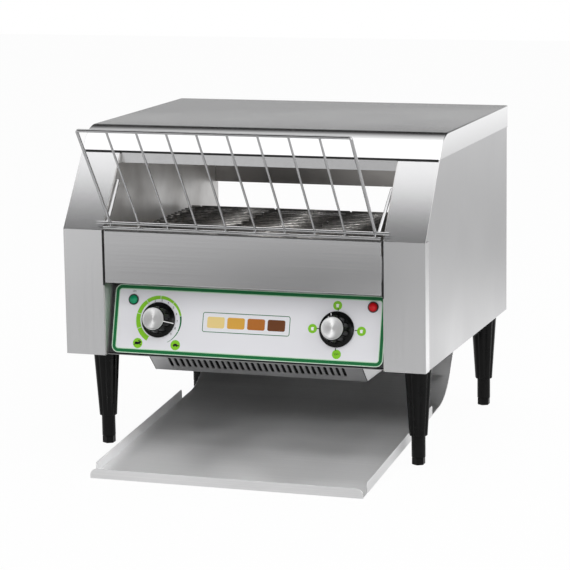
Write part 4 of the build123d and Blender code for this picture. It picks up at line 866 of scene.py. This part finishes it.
def lettering(text, height):
    """Flat letters, centred on the origin, a given height in millimetres."""
    curve = bpy.data.curves.new("letters", "FONT")
    curve.body, curve.align_x, curve.align_y = text, "CENTER", "CENTER"
    curve.size = height / 0.72  # the capitals' share of the type size
    holder = new_object("letters", curve)
    bpy.context.view_layer.update()
    mesh = bpy.data.meshes.new_from_object(holder.evaluated_get(bpy.context.evaluated_depsgraph_get()))
    points = values_of(mesh.vertices, "co", 3)
    faces = [np.array([polygon.vertices[:]]) for polygon in mesh.polygons]
    bpy.data.objects.remove(holder)
    bpy.data.meshes.remove(mesh)
    bpy.data.curves.remove(curve)
    return points, faces


def clockwise(angle):
    """Directions along and across a mark at an angle clockwise from up: (sin a, cos a), (cos a, -sin a)."""
    a = math.radians(angle)
    return np.array([math.sin(a), math.cos(a)]), np.array([math.cos(a), -math.sin(a)])


def tick(angle):
    """Straight bar 3 mm long and 1.1 mm wide, 22.9 mm from the knob's axis."""
    along, across = clockwise(angle)
    corners = [(22.9, -1), (25.9, -1), (25.9, 1), (22.9, 1)]
    return flat([along * s + across * w * 1.1 / 2 for s, w in corners])


def speed_arc(start, end, parts):
    """Tapering arc: its outer radius is even, and its width falls from 6.6 mm to 0.4 mm clockwise."""
    spans = []
    edges = np.linspace(start, end, parts + 1)
    for first, last in zip(edges[:-1], edges[1:]):
        angle = np.linspace(first + 0.5, last - 0.5, 14)
        width = np.interp(angle, [-152, -60, 0, 90, 155], [6.6, 5.4, 4.4, 2.2, 0.4])
        way = arc_points(1.0, np.radians(90 - angle))
        spans.append(band(30.6 * way, (30.6 - width)[:, None] * way, closed=False))
    return joined(spans)


def animal(forms, times):
    """Figure of overlapping ellipses, each enlarged about the figure's own middle."""
    return joined([flat(ellipse(*form) * times) for form in forms])


def slice_of_bread():
    """Slice outline: a square foot with a crust that bulges on each side at the top."""
    foot = np.array([(-1.5, -2.2), (1.5, -2.2), (1.5, 0.4)])
    return flat(np.concatenate([foot, ellipse(0, 0.8, 2.05, 1.2, 0, -15, 195, 14)]))


def print_on(name, shapes, material, lift):
    """Prints flat shapes, in millimetres on the panel, a lift above the film's face."""
    place = on_panel(joined(shapes), PANEL_ORIGIN, FILM + lift)
    made = piece(name, place, "casing", material, closed=False)
    point_outwards(made, (0, -1, 0.27))


class TOASTER_OT_panel(bpy.types.Operator):
    """Adds the control panel's film with its border, dial, symbols and the browning scale."""

    bl_idname = "toaster.panel"
    bl_label = "Control panel film"

    def execute(self, context):
        colours = context.scene.toaster_colours
        toasts = {"pale_toast": "#EAD08A", "golden_toast": "#D9A441", "brown_toast": "#B36A22",
                  "dark_toast": "#6B3A16"}
        inks = {name: linear(code) for name, code in toasts.items()}
        inks.update(mint=linear("#BFE3C4"), white=linear("#F4F4F2"), border=tuple(colours.border),
                    dial=tuple(colours.dial), ink=tuple(colours.ink))
        inks = {name: printed_film(name, colour) for name, colour in inks.items()}

        low, high = box_mm("control_overlay")
        width, bottom = high[0] - low[0], rise(low[2])
        height, middle = FILM_TOP - bottom, (FILM_TOP + bottom) / 2
        outline = round_rectangle(width, height, 9.0)
        sheet = moved(capped(drawn_out(outline, 2, 0.02, FILM), len(outline)), 0, middle)
        field = printed_film("field", tuple(colours.film), 0.42)
        film = piece("film_sheet", on_panel(sheet, PANEL_ORIGIN), "casing", field)
        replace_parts(film, "control_overlay")

        mint = moved(rounded_band(width - 0.4, height - 0.4, 8.8, 5.9), 0, middle)
        green = moved(rounded_band(width - 2.2, height - 2.0, 8.0, 4.0), 0, middle)
        print_on("film_border_mint", [mint], inks["mint"], 0.02)
        print_on("film_border_green", [green], inks["border"], 0.04)
        print_on("dial_arc", [moved(speed_arc(-152, 78, 6), -KNOB_X, KNOB_RISE)], inks["dial"], 0.02)
        print_on("dial_arc_end", [moved(speed_arc(78, 155, 2), -KNOB_X, KNOB_RISE)], inks["border"], 0.02)
        digit = context.scene.toaster_sizes.digits / MM
        places = [24.6 * clockwise(angle)[0] + (-KNOB_X, KNOB_RISE) for angle in DIAL_ANGLES]
        numbers = [moved(lettering(text, digit), *place) for text, place in zip("987654321", places)]
        print_on("dial_numbers", numbers, inks["ink"], 0.03)

        discs = [(HARE_PLACE, 6.4), (TORTOISE_PLACE, 6.4), (BREAD_TOP, 5.75), (BREAD_LEFT, 5.75),
                 (BREAD_RIGHT, 5.75), (OFF_PLACE, 5.75)]
        discs = [flat(ellipse(*place, radius, radius, count=48)) for place, radius in discs]
        print_on("symbol_discs", discs, inks["dial"], 0.02)
        signs = [moved(slice_of_bread(), *place) for place in (BREAD_TOP, BREAD_LEFT, BREAD_RIGHT)]
        print_on("symbol_signs", signs, inks["white"], 0.04)
        marks = [moved(tick(angle), KNOB_X, KNOB_RISE) for angle in (0, 90, 180, 270)]
        marks += [moved(lettering("ON", 2.2), -152.6, rise(207.5)), moved(lettering("OFF", 2.3), *OFF_PLACE)]
        marks += [moved(animal(HARE, 1.45), *HARE_PLACE), moved(animal(TORTOISE, 1.35), *TORTOISE_PLACE)]
        print_on("panel_marks", marks, inks["ink"], 0.05)

        print_on("browning_frame", [moved(rounded_band(115, 25, 3, 0.9), *SCALE_PLACE)], inks["border"], 0.02)
        for i, toast in enumerate(toasts):
            x = SCALE_PLACE[0] + (i - 1.5) * 26.5
            tile = moved(flat(round_rectangle(23, 14, 2.4)), x, SCALE_PLACE[1])
            print_on(f"browning_tile_{i + 1}", [tile], inks[toast], 0.02)
        return {"FINISHED"}


# Profiles (radius, height over the film) in millimetres.
KNOB_SKIRT = [(21.9, 0.8), (22.3, 1.1), (22.3, 2.1), (21.8, 2.7), (19.4, 3.3), (18.2, 4.2), (17.7, 6.0),
              (17.2, 8.5), (16.6, 12.0), (15.9, 15.6)]
CAP_PROFILE = [(14.0, 20.0), (14.1, 20.3), (14.1, 20.8), (13.9, 21.1), (13.4, 21.2), (12.8, 20.95),
               (12.4, 20.9), (6.0, 20.85), (0.05, 20.85)]
POINTER_PROFILE = [(14.0, 20.06), (14.9, 19.7), (15.5, 18.6), (16.2, 15.0), (17.2, 9.5), (18.05, 5.0),
                   (19.3, 3.45), (21.3, 2.85)]
BEZEL_PROFILE = [(4.8, -18.0), (4.8, 0.0), (6.6, 0.0), (6.8, 0.3), (6.8, 1.3), (6.4, 1.7), (5.9, 1.7),
                 (5.7, 1.3)]
CAP_SIDES = 96


def knob_shape():
    """Knob: a skirt, a tapering body with ten flutes and a top rounded to 1.3 mm."""
    top = (14.0, 18.7) + arc_points(1.3, np.linspace(0, np.pi / 2, 5))
    profile = np.concatenate([KNOB_SKIRT, top, [(13.9, 20.0)]])
    depth = np.interp(profile[:, 1], [3.6, 5.0, 18.0, 19.8], [0.0, 1.5, 1.7, 0.0])
    return lathe(profile, 160, depth, 10, 2.4)


def pointer_bar(angle):
    """Raised line, 1.1 mm wide and 0.18 mm high, from the cap's edge over the knob's shoulder and down
    to its skirt: P(t, w, h) = r(t) along + z(t) up + w across + h up."""
    line = np.array(POINTER_PROFILE)
    along, across = (np.append(way, 0.0) for way in clockwise(angle))
    middle = line[:, :1] * along + line[:, 1:] * (0, 0, 1)
    corners = ((-0.55, 0), (-0.55, 0.18), (0.55, 0.18), (0.55, 0))
    rows = [middle + across * w + np.array([0, 0, 1]) * h for w, h in corners]
    return capped(surface(np.stack(rows, 1), wrap=True), 4)


def turning_map(made, sides, rings):
    """UV map of a turned piece: u = the vertex's share of the turn and v = its ring's share of the
    profile. On the faces that close the turn, the first column counts as a whole turn."""
    mesh = made.data
    index = values_of(mesh.loops, "vertex_index", kind=int)
    side, ring = index % sides, index // sides
    face = np.repeat(np.arange(len(mesh.polygons)), values_of(mesh.polygons, "loop_total", kind=int))
    seam = np.zeros(len(mesh.polygons), bool)
    np.logical_or.at(seam, face[side == sides - 1], True)
    u = np.where(seam[face] & (side == 0), sides, side) / sides
    mesh.uv_layers.new(name="turning").data.foreach_set("uv", np.stack([u, ring / rings], -1).ravel())


class TOASTER_OT_knobs(bpy.types.Operator):
    """Adds both knobs with their spun caps and white pointers."""

    bl_idname = "toaster.knobs"
    bl_label = "Knobs"

    def execute(self, context):
        black, metal, white = moulded_phenolic(), spun_aluminium(), plain_finish("white_filled_line")
        for name, body, angle in (("speed", "speed_control", 100.0), ("selector", "mode_selector", -23.0)):
            shapes = (knob_shape(), lathe(CAP_PROFILE, CAP_SIDES), pointer_bar(angle))
            grip, disc, line = (on_panel(shape, knob_centre(name), FILM) for shape in shapes)
            knob = piece(name + "_knob_body", grip, body, black)
            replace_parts(knob, name + "_knob")
            cap = piece(name + "_cap_disc", disc, body, metal)
            turning_map(cap, CAP_SIDES, len(CAP_PROFILE))
            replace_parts(cap, name + "_knob_cap")
            piece(name + "_knob_pointer", line, body, white)
        return {"FINISHED"}


class TOASTER_OT_lamps(bpy.types.Operator):
    """Adds the green and red indicator lamps: a lens 5.7 cos a wide and 3 sin a high in a bezel."""

    bl_idname = "toaster.lamps"
    bl_label = "Lamps"

    def execute(self, context):
        rim = plain_finish("black_lamp_bezel")
        arc = arc_points(1.0, np.linspace(0, np.pi / 2 - 0.02, 9))
        dome = np.concatenate([[(5.7, 0.4)], arc * (5.7, 3.0) + (0, 1.6)])
        # each lens: its own deep colour and the bright colour of the painted highlight in its dome
        for node, lens, deep, bright in (("power_lamp", "green_lens", "#023A26", "#0E9A6A"),
                                         ("heating_lamp", "red_lens", "#6E0009", "#D0101C")):
            middle = np.mean(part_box(node), axis=0)
            centre = middle - PANEL_NORMAL * ((middle - PANEL_ORIGIN) @ PANEL_NORMAL)
            case = on_panel(lathe(BEZEL_PROFILE, 48), centre, FILM)
            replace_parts(piece(node + "_case", case, "casing", rim), node)
            piece(node + "_lens", on_panel(lathe(dome, 48), centre, FILM), "casing",
                  lamp_lens(lens, deep, bright))
        return {"FINISHED"}


# ---------------------------------------------------------------- vent box
VENT_BOTTOM, VENT_TOP = 99.7, 129.2
VENT_FRONT, VENT_REAR, VENT_RUN = 37.0, 163.0, 13.0  # the back leans forwards by its run
SLOT_PITCH, SLOT_LENGTH, SLOT_LOW = 7.95, 19.5, 106.3
SLOT_MARGIN = 2.0  # sheet above and below each slot that belongs to its cell


def slotted_face(width, length, middle, slot_width, count):
    """Flat face with a row of round-ended slots: each cell is a band between the slot's outline and the
    cell's border, whose points are met by the same angle. It is drawn with x across and y up its slope.
    The walls go 1 mm back from the slots' outlines."""
    slot = stadium(slot_width, SLOT_LENGTH)
    a = np.arctan2(slot[:, 1] / (SLOT_LENGTH / 2), slot[:, 0] / (slot_width / 2))
    way = arc_points(1.0, a)
    reach = SLOT_PITCH / 2 / np.maximum(np.abs(way), 1e-6).max(-1)
    tall = SLOT_LENGTH / 2 + SLOT_MARGIN
    border = reach[:, None] * way * (1, tall / (SLOT_PITCH / 2))
    columns = [(i - (count - 1) / 2) * SLOT_PITCH for i in range(count)]
    half, low, high = count * SLOT_PITCH / 2, middle - tall, middle + tall
    frames = [((-width / 2, 0), (width / 2, low)), ((-width / 2, high), (width / 2, length)),
              ((-width / 2, low), (-half, high)), ((half, low), (width / 2, high))]
    plates = [flat([(x0, y0), (x1, y0), (x1, y1), (x0, y1)]) for (x0, y0), (x1, y1) in frames]
    face = joined([moved(band(border, slot), x, middle) for x in columns] + plates)
    return face, joined([moved(drawn_out(slot, 2, 0.0, -1.0), x, middle) for x in columns])


class TOASTER_OT_vent(bpy.types.Operator):
    """Adds the vent box under the control panel, with its row of round-ended slots."""

    bl_idname = "toaster.vent"
    bl_label = "Vent box"

    def execute(self, context):
        steel = brushed_steel("brushed_stainless_vent", "#D8D8D9", 0.42)
        low, high = box_mm("vent_box")
        width, drop = high[0] - low[0], VENT_TOP - VENT_BOTTOM
        middle = (SLOT_LOW - VENT_BOTTOM) * math.sqrt(2) + SLOT_LENGTH / 2
        slot = context.scene.toaster_sizes.slot_width / MM
        count = int((width - 44) / SLOT_PITCH)
        face, walls = slotted_face(width, drop * math.sqrt(2), middle, slot, count)
        slope, outward = np.array([0, -1, 1]) / math.sqrt(2), np.array([0, -1, -1]) / math.sqrt(2)
        front, rear = VENT_FRONT + drop, VENT_REAR - VENT_RUN  # where the bottom starts and ends
        foot = np.array([0, front, VENT_BOTTOM])
        skins = [turned_about(shape, place, (1, 0, 0), slope, outward)
                 for shape, place in ((face, foot), (face, foot - outward), (walls, foot))]
        line = [(front + 0.02, VENT_BOTTOM), (rear, VENT_BOTTOM), (VENT_REAR, VENT_TOP)]
        pan = folded(rounded(line, 1.2, 4), SHEET, low[0], high[0])
        end = np.array([(VENT_FRONT, VENT_TOP), (front, VENT_BOTTOM), *line[1:]])
        ends = [capped(drawn_out(end, 0, x, x + SHEET), 4) for x in (low[0], high[0] - SHEET)]
        made = piece("vent_box_skin", in_frame(joined(skins + [pan] + ends)), "casing", steel)
        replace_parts(made, "vent_box")
        # painted shade: a black sheet behind the slots and black lines along the box's ends, for the shade
        # inside the box and at its edges
        line = [(front + 0.5, VENT_BOTTOM + 3.5), (VENT_FRONT + 5.5, VENT_TOP - 1.5)]
        dark = [folded(line, -0.6, low[0] + 2, high[0] - 2)]
        under = VENT_BOTTOM + 0.1
        for x in (low[0] + 0.2, high[0] - 0.2):
            seam = [(x, VENT_FRONT + 0.2, VENT_TOP), (x, front + 0.2, under), (x, rear, under)]
            dark.append(tube(dense(seam), 0.45, 8, plane=(1, 0, 0)))
        paint = plain_finish("painted_shade_in_vent")
        piece("vent_box_painted_shade", in_frame(joined(dark)), "casing", paint)
        return {"FINISHED"}


# ---------------------------------------------------------------- rack, tray and legs
RACK_HALF = 172.0
RACK_TOP, RACK_TOE = (-92.0, 424.7), (-0.5, 292.3)  # (y, z) of the hoop's top and of the rods' turned-in ends
RACK_BAR = tuple((0.0, SLOPE_FOOT) + 9.0 * SLOPE_ALONG + 2.8 * SLOPE_SQUARE)  # the bar that lies on the slope


class TOASTER_OT_rack(bpy.types.Operator):
    """Adds the loading rack: frame rods, slide rods and two pivot arms."""

    bl_idname = "toaster.rack"
    bl_label = "Loading rack"

    def execute(self, context):
        sizes = context.scene.toaster_sizes
        frame_radius, rod_radius = sizes.rack_frame / MM / 2, sizes.rack_rod / MM / 2
        hoop = [(-RACK_HALF, *RACK_BAR), (-RACK_HALF, *RACK_TOP), (RACK_HALF, *RACK_TOP),
                (RACK_HALF, *RACK_BAR)]
        rods = [tube(rounded(hoop, 3.0), frame_radius, 16)]
        for x in np.linspace(-RACK_HALF, RACK_HALF, 10)[1:-1]:
            line = rounded([(x, *RACK_TOP), (x, *RACK_BAR), (x, *RACK_TOE)], 4.0, 6)
            rods.append(tube(dense(line), rod_radius, plane=(1, 0, 0)))
        for x in (-RACK_HALF, RACK_HALF):
            rods.append(tube(dense([(x, *RACK_BAR), (x, *RACK_TOE)]), rod_radius, plane=(1, 0, 0)))
        for half, place, radius in ((190.0, RACK_BAR, 2.5), (180.0, RACK_TOE, frame_radius)):
            rods.append(tube(dense([(-half, *place), (half, *place)]), radius, 16))
        pivot = joint_mm("rack_pivot")
        for side in (-1, 1):
            arm = rounded([(side * 176.0, *RACK_BAR), (side * 179.4, *pivot), (side * 187.7, *pivot)], 1.5, 6)
            rods.append(tube(dense(arm), frame_radius, 14, plane=(0, 0.3, 1)))
        rods = in_frame(joined(rods))
        made = piece("loading_rack_rods", rods, "loading_rack", polished_wire(), smooth=50)
        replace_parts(made, "loading_rack")
        return {"FINISHED"}


TRAY_X, TRAY_HALF, TRAY_FRONT = 14.2, 174.0, -110.0
TRAY_SLOPE, CHUTE_SLOPE = math.tan(math.radians(5.2)), math.tan(math.radians(57.0))
CHUTE_Y, CHUTE_Z, TRAY_TOP = 303.7, 89.8, 112.0  # a point on the tray's back, and the top of it


def tray_floor(y):
    """Height of the tray's floor over the table: it rises evenly from its front."""
    return 1.3 + (y - TRAY_FRONT) * TRAY_SLOPE


def tray_side(x):
    """Side wall: at each y its section is a rectangle one sheet thick, from under the floor to the wall's
    top, which is 12.6 mm over the floor and drops by 2 mm at both ends."""
    y = np.array([-92.0, -90.5, 197.0, 199.0])
    foot, top = tray_floor(y) - 0.5, tray_floor(y) + np.array([10.6, 12.6, 12.6, 10.6])
    section = [np.column_stack([np.full(4, x + step), y, z])
               for step, z in ((0.0, foot), (0.0, top), (SHEET, top), (SHEET, foot))]
    return capped(surface(np.stack(section, 1), wrap=True), 4)


def rolling_map(made):
    """UV map of a sheet whose scratches run across it: u = y + z and v = x + z."""
    mesh = made.data
    x, y, z = values_of(mesh.vertices, "co", 3)[values_of(mesh.loops, "vertex_index", kind=int)].T
    mesh.uv_layers.new(name="rolling").data.foreach_set("uv", np.stack([y + z, x + z], -1).ravel())


class TOASTER_OT_tray(bpy.types.Operator):
    """Adds the discharge tray: sloping floor, curved back, folded sides and front lip."""

    bl_idname = "toaster.tray"
    bl_label = "Discharge tray"

    def execute(self, context):
        # painted light: the tray's near white tone, far above that of the other sheets of the same steel, is
        # raised to stand in for the light on its front
        steel = brushed_steel("brushed_stainless_tray_painted_light", "#FAFAFB", 0.46, "x", 0.1, smear=0.87)
        knee = (tray_floor(0) - CHUTE_Z + CHUTE_SLOPE * CHUTE_Y) / (CHUTE_SLOPE - TRAY_SLOPE)
        back = CHUTE_Y + (TRAY_TOP - CHUTE_Z) / CHUTE_SLOPE
        line = [(TRAY_FRONT, tray_floor(TRAY_FRONT)), (knee, tray_floor(knee)), (back, TRAY_TOP)]
        floor = folded(rounded(line, 75.0, 24), -SHEET, TRAY_X - TRAY_HALF, TRAY_X + TRAY_HALF)
        corner = ellipse(TRAY_HALF - 8, 4.3, 8, 8, 0, 0, 90, 10)
        outline = np.concatenate([[(TRAY_HALF, 0.3)], corner, corner[::-1] * (-1, 1), [(-TRAY_HALF, 0.3)]])
        lip = capped(drawn_out(outline + (TRAY_X, 0), 1, TRAY_FRONT, TRAY_FRONT + SHEET), len(outline))
        sides = [tray_side(x) for x in (TRAY_X - TRAY_HALF, TRAY_X + TRAY_HALF - SHEET)]
        made = piece("discharge_tray_sheet", in_frame(joined([floor, lip] + sides)), "discharge_tray", steel,
                     smooth=25)
        rolling_map(made)
        break_edges(made, 0.3, 50)
        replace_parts(made, "discharge_tray")
        return {"FINISHED"}


def leg_shape():
    """Leg: a round flange and a tapering body with eight flutes, 92.2 mm long."""
    profile = np.array([
        (10.4, 37.0), (11.1, 37.2), (11.5, 38.0), (11.9, 44.0), (13.2, 64.0), (14.9, 90.0), (16.6, 116.0),
        (17.0, 122.0), (17.4, 124.2), (18.4, 125.2), (19.0, 125.4), (19.2, 126.0), (19.2, 128.6),
        (18.9, 129.2)])
    depth = np.interp(profile[:, 1], [37.0, 40.0, 118.0, 124.0], [0.3, 1.3, 1.6, 0.0])
    return lathe(profile, 128, depth, 8, 3.0, phase=math.pi / 8)


def foot_shape():
    """Foot: a stem with a small chamfer at its shoulder, and a hexagon 14.8 mm across its flats, whose
    radius grows by a chamfer of 0.8 mm over its first and last steps, turned by 30 degrees."""
    stem = lathe([(8.2, 9.3), (8.7, 9.8), (8.7, 36.6), (8.6, 75.0)], 48)
    radius = 14.8 / math.sqrt(3)
    nut = lathe([(radius - 0.8, 0.0), (radius, 0.8), (radius, 8.7), (radius - 0.8, 9.5)], 6)
    x_axis, z_axis = (math.cos(math.radians(30)), math.sin(math.radians(30)), 0), (0, 0, 1)
    return joined([stem, turned_about(nut, (0, 0, 0), x_axis, np.cross(z_axis, x_axis), z_axis)])


class TOASTER_OT_legs(bpy.types.Operator):
    """Adds the four fluted legs and their adjustable feet."""

    bl_idname = "toaster.legs"
    bl_label = "Legs"

    def execute(self, context):
        black = moulded_nylon()
        for place in ("front_left", "front_right", "rear_left", "rear_right"):
            x, y, _ = np.mean(box_mm("leg_" + place), axis=0)
            leg, foot = (in_frame(moved(shape, x, y)) for shape in (leg_shape(), foot_shape()))
            made = piece("leg_" + place + "_body", leg, "casing", black, 40)
            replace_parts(made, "leg_" + place)
            made = piece("foot_" + place + "_stem", foot, "foot_" + place, black)
            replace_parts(made, "foot_" + place)
        return {"FINISHED"}


# ---------------------------------------------------------------- studio
MIDDLE = (0.0, 0.0, 0.2)  # what the soft lamps look at

# Name, place, what it looks at, side in metres, power in watts.
LAMPS = (
    ("key_softbox", (0.3, -2.7, 2.1), MIDDLE, 3.0, 42),
    ("side_softbox", (2.6, -0.6, 1.7), MIDDLE, 2.6, 26),
    ("top_softbox", (0.2, 0.4, 2.8), MIDDLE, 2.4, 22),
    ("chamber_lamp", (0.0, -0.085, 0.34), (0.0, 0.1, 0.265), 0.07, 0.3),
)

# Name, centre, facing, width, height, light at the low edge, light at the high edge.
CARDS = (
    # behind and above: the dark band along the cover's bend, and its fade up the cover's top
    ("black_flag", (-0.3, 2.34, 1.51), (0, -0.499, -0.867), 5.0, 1.523, 0.01, 0.01),
    ("flag_fade", (-0.3, 1.063, 2.245), (0, -0.499, -0.867), 5.0, 1.424, 0.01, 1.2),
    ("grey_back", (-0.5, 3.0, 0.555), (0, -1, 0), 4.0, 1.09, 0.5, 0.5),
    # above and in front: the bright slope and the grey of the upright sheets
    ("white_ceiling", (-0.3, -0.9, 2.6), (0, 0, -1), 4.2, 2.6, 1.4, 1.4),
    ("grey_visor", (-0.15, -0.55, 0.587), (0, 0.48, -0.88), 1.4, 0.52, 0.0, 0.0),
    ("front_flag", (-1.2, -3.2, 1.15), (0.35, 0.9, -0.3), 3.0, 1.7, 0.8, 0.8),
    # near the table: the run of tone down the front, under the casing and on the right side
    ("floor_shade", (-0.45, -1.4, 0.07), (0.15, 0, 0.98), 1.4, 0.7, 0.12, 1.0),
    ("under_flag", (0.0, 0.0275, 0.062), (0, 0, -1), 0.36, 0.225, 0.01, 0.01),
    ("floor_glow", (0.5, 0.8, 0.02), (0, 0, 1), 0.7, 1.0, 1.5, 0.6),
    ("side_grey", (0.85, 1.75, 0.2), (-0.3, -1, 0), 1.2, 0.4, 0.6, 1.3),
    ("edge_light", (0.98, -0.42, 0.2), (-1, 0.3, 0), 0.4, 0.4, 2.4, 2.4),
)
CAMERA_PLACE = (0.98574, -2.86713, 0.76466)
CAMERA_ANGLES = (18.93, 10.58, -0.87)  # to the left of +y, down, and tilted, in degrees


def stage_card(name, centre, facing, width, height, low, high):
    """Flat card that gives the steel something to mirror. Its light runs evenly from one long edge,
    low, to the other, high."""
    z_axis = unit(np.asarray(facing, float))
    x_axis = unit(np.cross((0, 0, 1), z_axis)) if abs(z_axis[2]) < 0.99 else np.array([1.0, 0, 0])
    corners = np.array([(-1, -1, 0), (1, -1, 0), (1, 1, 0), (-1, 1, 0)]) * (width / 2, height / 2, 1)
    points, _ = turned_about((corners, None), centre, x_axis, np.cross(z_axis, x_axis), z_axis)
    mesh = bpy.data.meshes.new(name)
    mesh.from_pydata(points.tolist(), [], [(0, 1, 2, 3)])
    mesh.attributes.new("glow", "FLOAT", "POINT").data.foreach_set("value", [low, low, high, high])
    material = bpy.data.materials.new(name)
    material.use_nodes = True
    tree = material.node_tree
    tree.nodes.remove(tree.nodes["Principled BSDF"])
    level = add_node(tree, "ShaderNodeAttribute", attribute_name="glow").outputs["Fac"]
    add_node(tree, "ShaderNodeEmission", None, {"Strength": level},
             {"Emission": tree.nodes["Material Output"].inputs["Surface"]})
    mesh.materials.append(material)
    card = new_object(name, mesh)
    card.visible_camera = card.visible_shadow = card.visible_diffuse = False


def soft_lamp(name, place, target, size, power):
    """Square area lamp that looks from a place at a target and isn't seen itself."""
    lamp = bpy.data.lights.new(name, "AREA")
    lamp.shape, lamp.size, lamp.energy = "SQUARE", size, power
    holder = new_object(name, lamp)
    holder.visible_camera = False
    direction = Vector(target) - Vector(place)
    holder.matrix_world = Matrix.Translation(place) @ direction.to_track_quat("-Z", "Y").to_matrix().to_4x4()


def rays(tree, *kinds):
    """1 where the ray is of one of these kinds, else 0: the largest of a Light Path node's outputs."""
    path = add_node(tree, "ShaderNodeLightPath").outputs
    share = path[kinds[0]]
    for kind in kinds[1:]:
        larger = add_node(tree, "ShaderNodeMath", None, {0: share, 1: path[kind]}, operation="MAXIMUM")
        share = larger.outputs[0]
    return share


def floor_material(colour):
    """Matt white floor. To the camera it is plain white with a faint shadow: 0.96 of it is its own
    light. What metal mirrors of it is an even grey."""
    material = patterned("matt_white_floor", colour, 0.0, 0.9, dict(scale=300, detail=2.0, relief=0.00002))
    tree = material.node_tree
    seen, mirrored = rays(tree, "Is Camera Ray", "Is Transmission Ray"), rays(tree, "Is Glossy Ray")
    plain = add_node(tree, "ShaderNodeMath", {1: 0.96}, {0: seen}, operation="MULTIPLY").outputs[0]
    share = add_node(tree, "ShaderNodeMath", None, {0: plain, 1: mirrored}, operation="MAXIMUM").outputs[0]
    level = add_node(tree, "ShaderNodeMapRange", {"To Min": 1.0, "To Max": 0.66}, {"Value": mirrored})
    glow = add_node(tree, "ShaderNodeEmission", {"Color": (1, 1, 1, 1)}, {"Strength": level.outputs[0]})
    add_node(tree, "ShaderNodeMixShader", None,
             {0: share, 1: tree.nodes["Principled BSDF"].outputs[0], 2: glow.outputs[0]},
             {0: tree.nodes["Material Output"].inputs["Surface"]})
    return material


def studio_world():
    """White world: a level of 1 to the camera, to metal and to glass, and 0.42 as light on the toaster."""
    world = bpy.data.worlds.new("studio_white")
    world.use_nodes = True
    tree = world.node_tree
    back = tree.nodes["Background"]
    back.inputs["Color"].default_value = (1, 1, 1, 1)
    seen = rays(tree, "Is Camera Ray", "Is Transmission Ray", "Is Glossy Ray")
    add_node(tree, "ShaderNodeMapRange", {"To Min": 0.42, "To Max": 1.0}, {"Value": seen},
             {"Result": back.inputs["Strength"]})
    return world


def studio_camera():
    """Camera turned by its yaw, pitch and roll: its columns are right, up and back."""
    camera = bpy.data.cameras.new("studio_camera")
    camera.lens, camera.sensor_width, camera.sensor_fit = 150.906, 36.0, "HORIZONTAL"
    camera.clip_end = 50.0
    yaw, pitch, roll = (math.radians(v) for v in CAMERA_ANGLES)
    forward = Vector((-math.sin(yaw) * math.cos(pitch), math.cos(yaw) * math.cos(pitch), -math.sin(pitch)))
    right = forward.cross(Vector((0, 0, 1))).normalized()
    up = right.cross(forward)
    tilted = math.cos(roll) * right + math.sin(roll) * up
    top = -math.sin(roll) * right + math.cos(roll) * up
    matrix = Matrix((tilted, top, -forward)).transposed().to_4x4()
    matrix.translation = Vector(CAMERA_PLACE)
    holder = new_object("studio_camera", camera)
    holder.matrix_world = matrix
    return holder


class TOASTER_OT_stage(bpy.types.Operator):
    """Adds the floor, the soft lamps, the cards that the steel mirrors and the camera."""

    bl_idname = "toaster.stage"
    bl_label = "Studio"

    def execute(self, context):
        scene = context.scene
        mesh = bpy.data.meshes.new("studio_floor")
        mesh.from_pydata([(-6, -6, 0), (6, -6, 0), (6, 6, 0), (-6, 6, 0)], [], [(0, 1, 2, 3)])
        mesh.materials.append(floor_material(tuple(scene.toaster_colours.floor)))
        new_object("studio_floor", mesh)
        scene.world = studio_world()
        for lamp in LAMPS:
            soft_lamp(*lamp)
        for card in CARDS:
            stage_card(*card)
        scene.camera = studio_camera()
        scene.view_settings.view_transform = "Standard"
        return {"FINISHED"}


OPERATORS = (
    TOASTER_OT_cover, TOASTER_OT_casing, TOASTER_OT_screws, TOASTER_OT_chamber, TOASTER_OT_heaters,
    TOASTER_OT_belt, TOASTER_OT_works, TOASTER_OT_panel, TOASTER_OT_knobs, TOASTER_OT_lamps,
    TOASTER_OT_vent, TOASTER_OT_rack, TOASTER_OT_tray, TOASTER_OT_legs, TOASTER_OT_stage,
)


class TOASTER_PT_dressing(bpy.types.Panel):
    """Lists the toaster's sizes, colours and pieces."""

    bl_idname = "TOASTER_PT_dressing"
    bl_label = "Conveyor toaster"
    bl_space_type = "VIEW_3D"
    bl_region_type = "UI"
    bl_category = "Toaster"

    def draw(self, context):
        column = self.layout.column()
        for group in (context.scene.toaster_sizes, context.scene.toaster_colours):
            for name in group.__annotations__:
                column.prop(group, name)
        for operator in OPERATORS:
            column.operator(operator.bl_idname)


CLASSES = (ToasterSizes, ToasterColours, *OPERATORS, TOASTER_PT_dressing)


def register():
    for cls in CLASSES:
        bpy.utils.register_class(cls)
    bpy.types.Scene.toaster_sizes = bpy.props.PointerProperty(type=ToasterSizes)
    bpy.types.Scene.toaster_colours = bpy.props.PointerProperty(type=ToasterColours)


def unregister():
    del bpy.types.Scene.toaster_colours
    del bpy.types.Scene.toaster_sizes
    for cls in reversed(CLASSES):
        bpy.utils.unregister_class(cls)


def main():
    register()
    for operator in OPERATORS:
        group, name = operator.bl_idname.split(".")
        getattr(getattr(bpy.ops, group), name)()


if __name__ == "__main__":
    main()
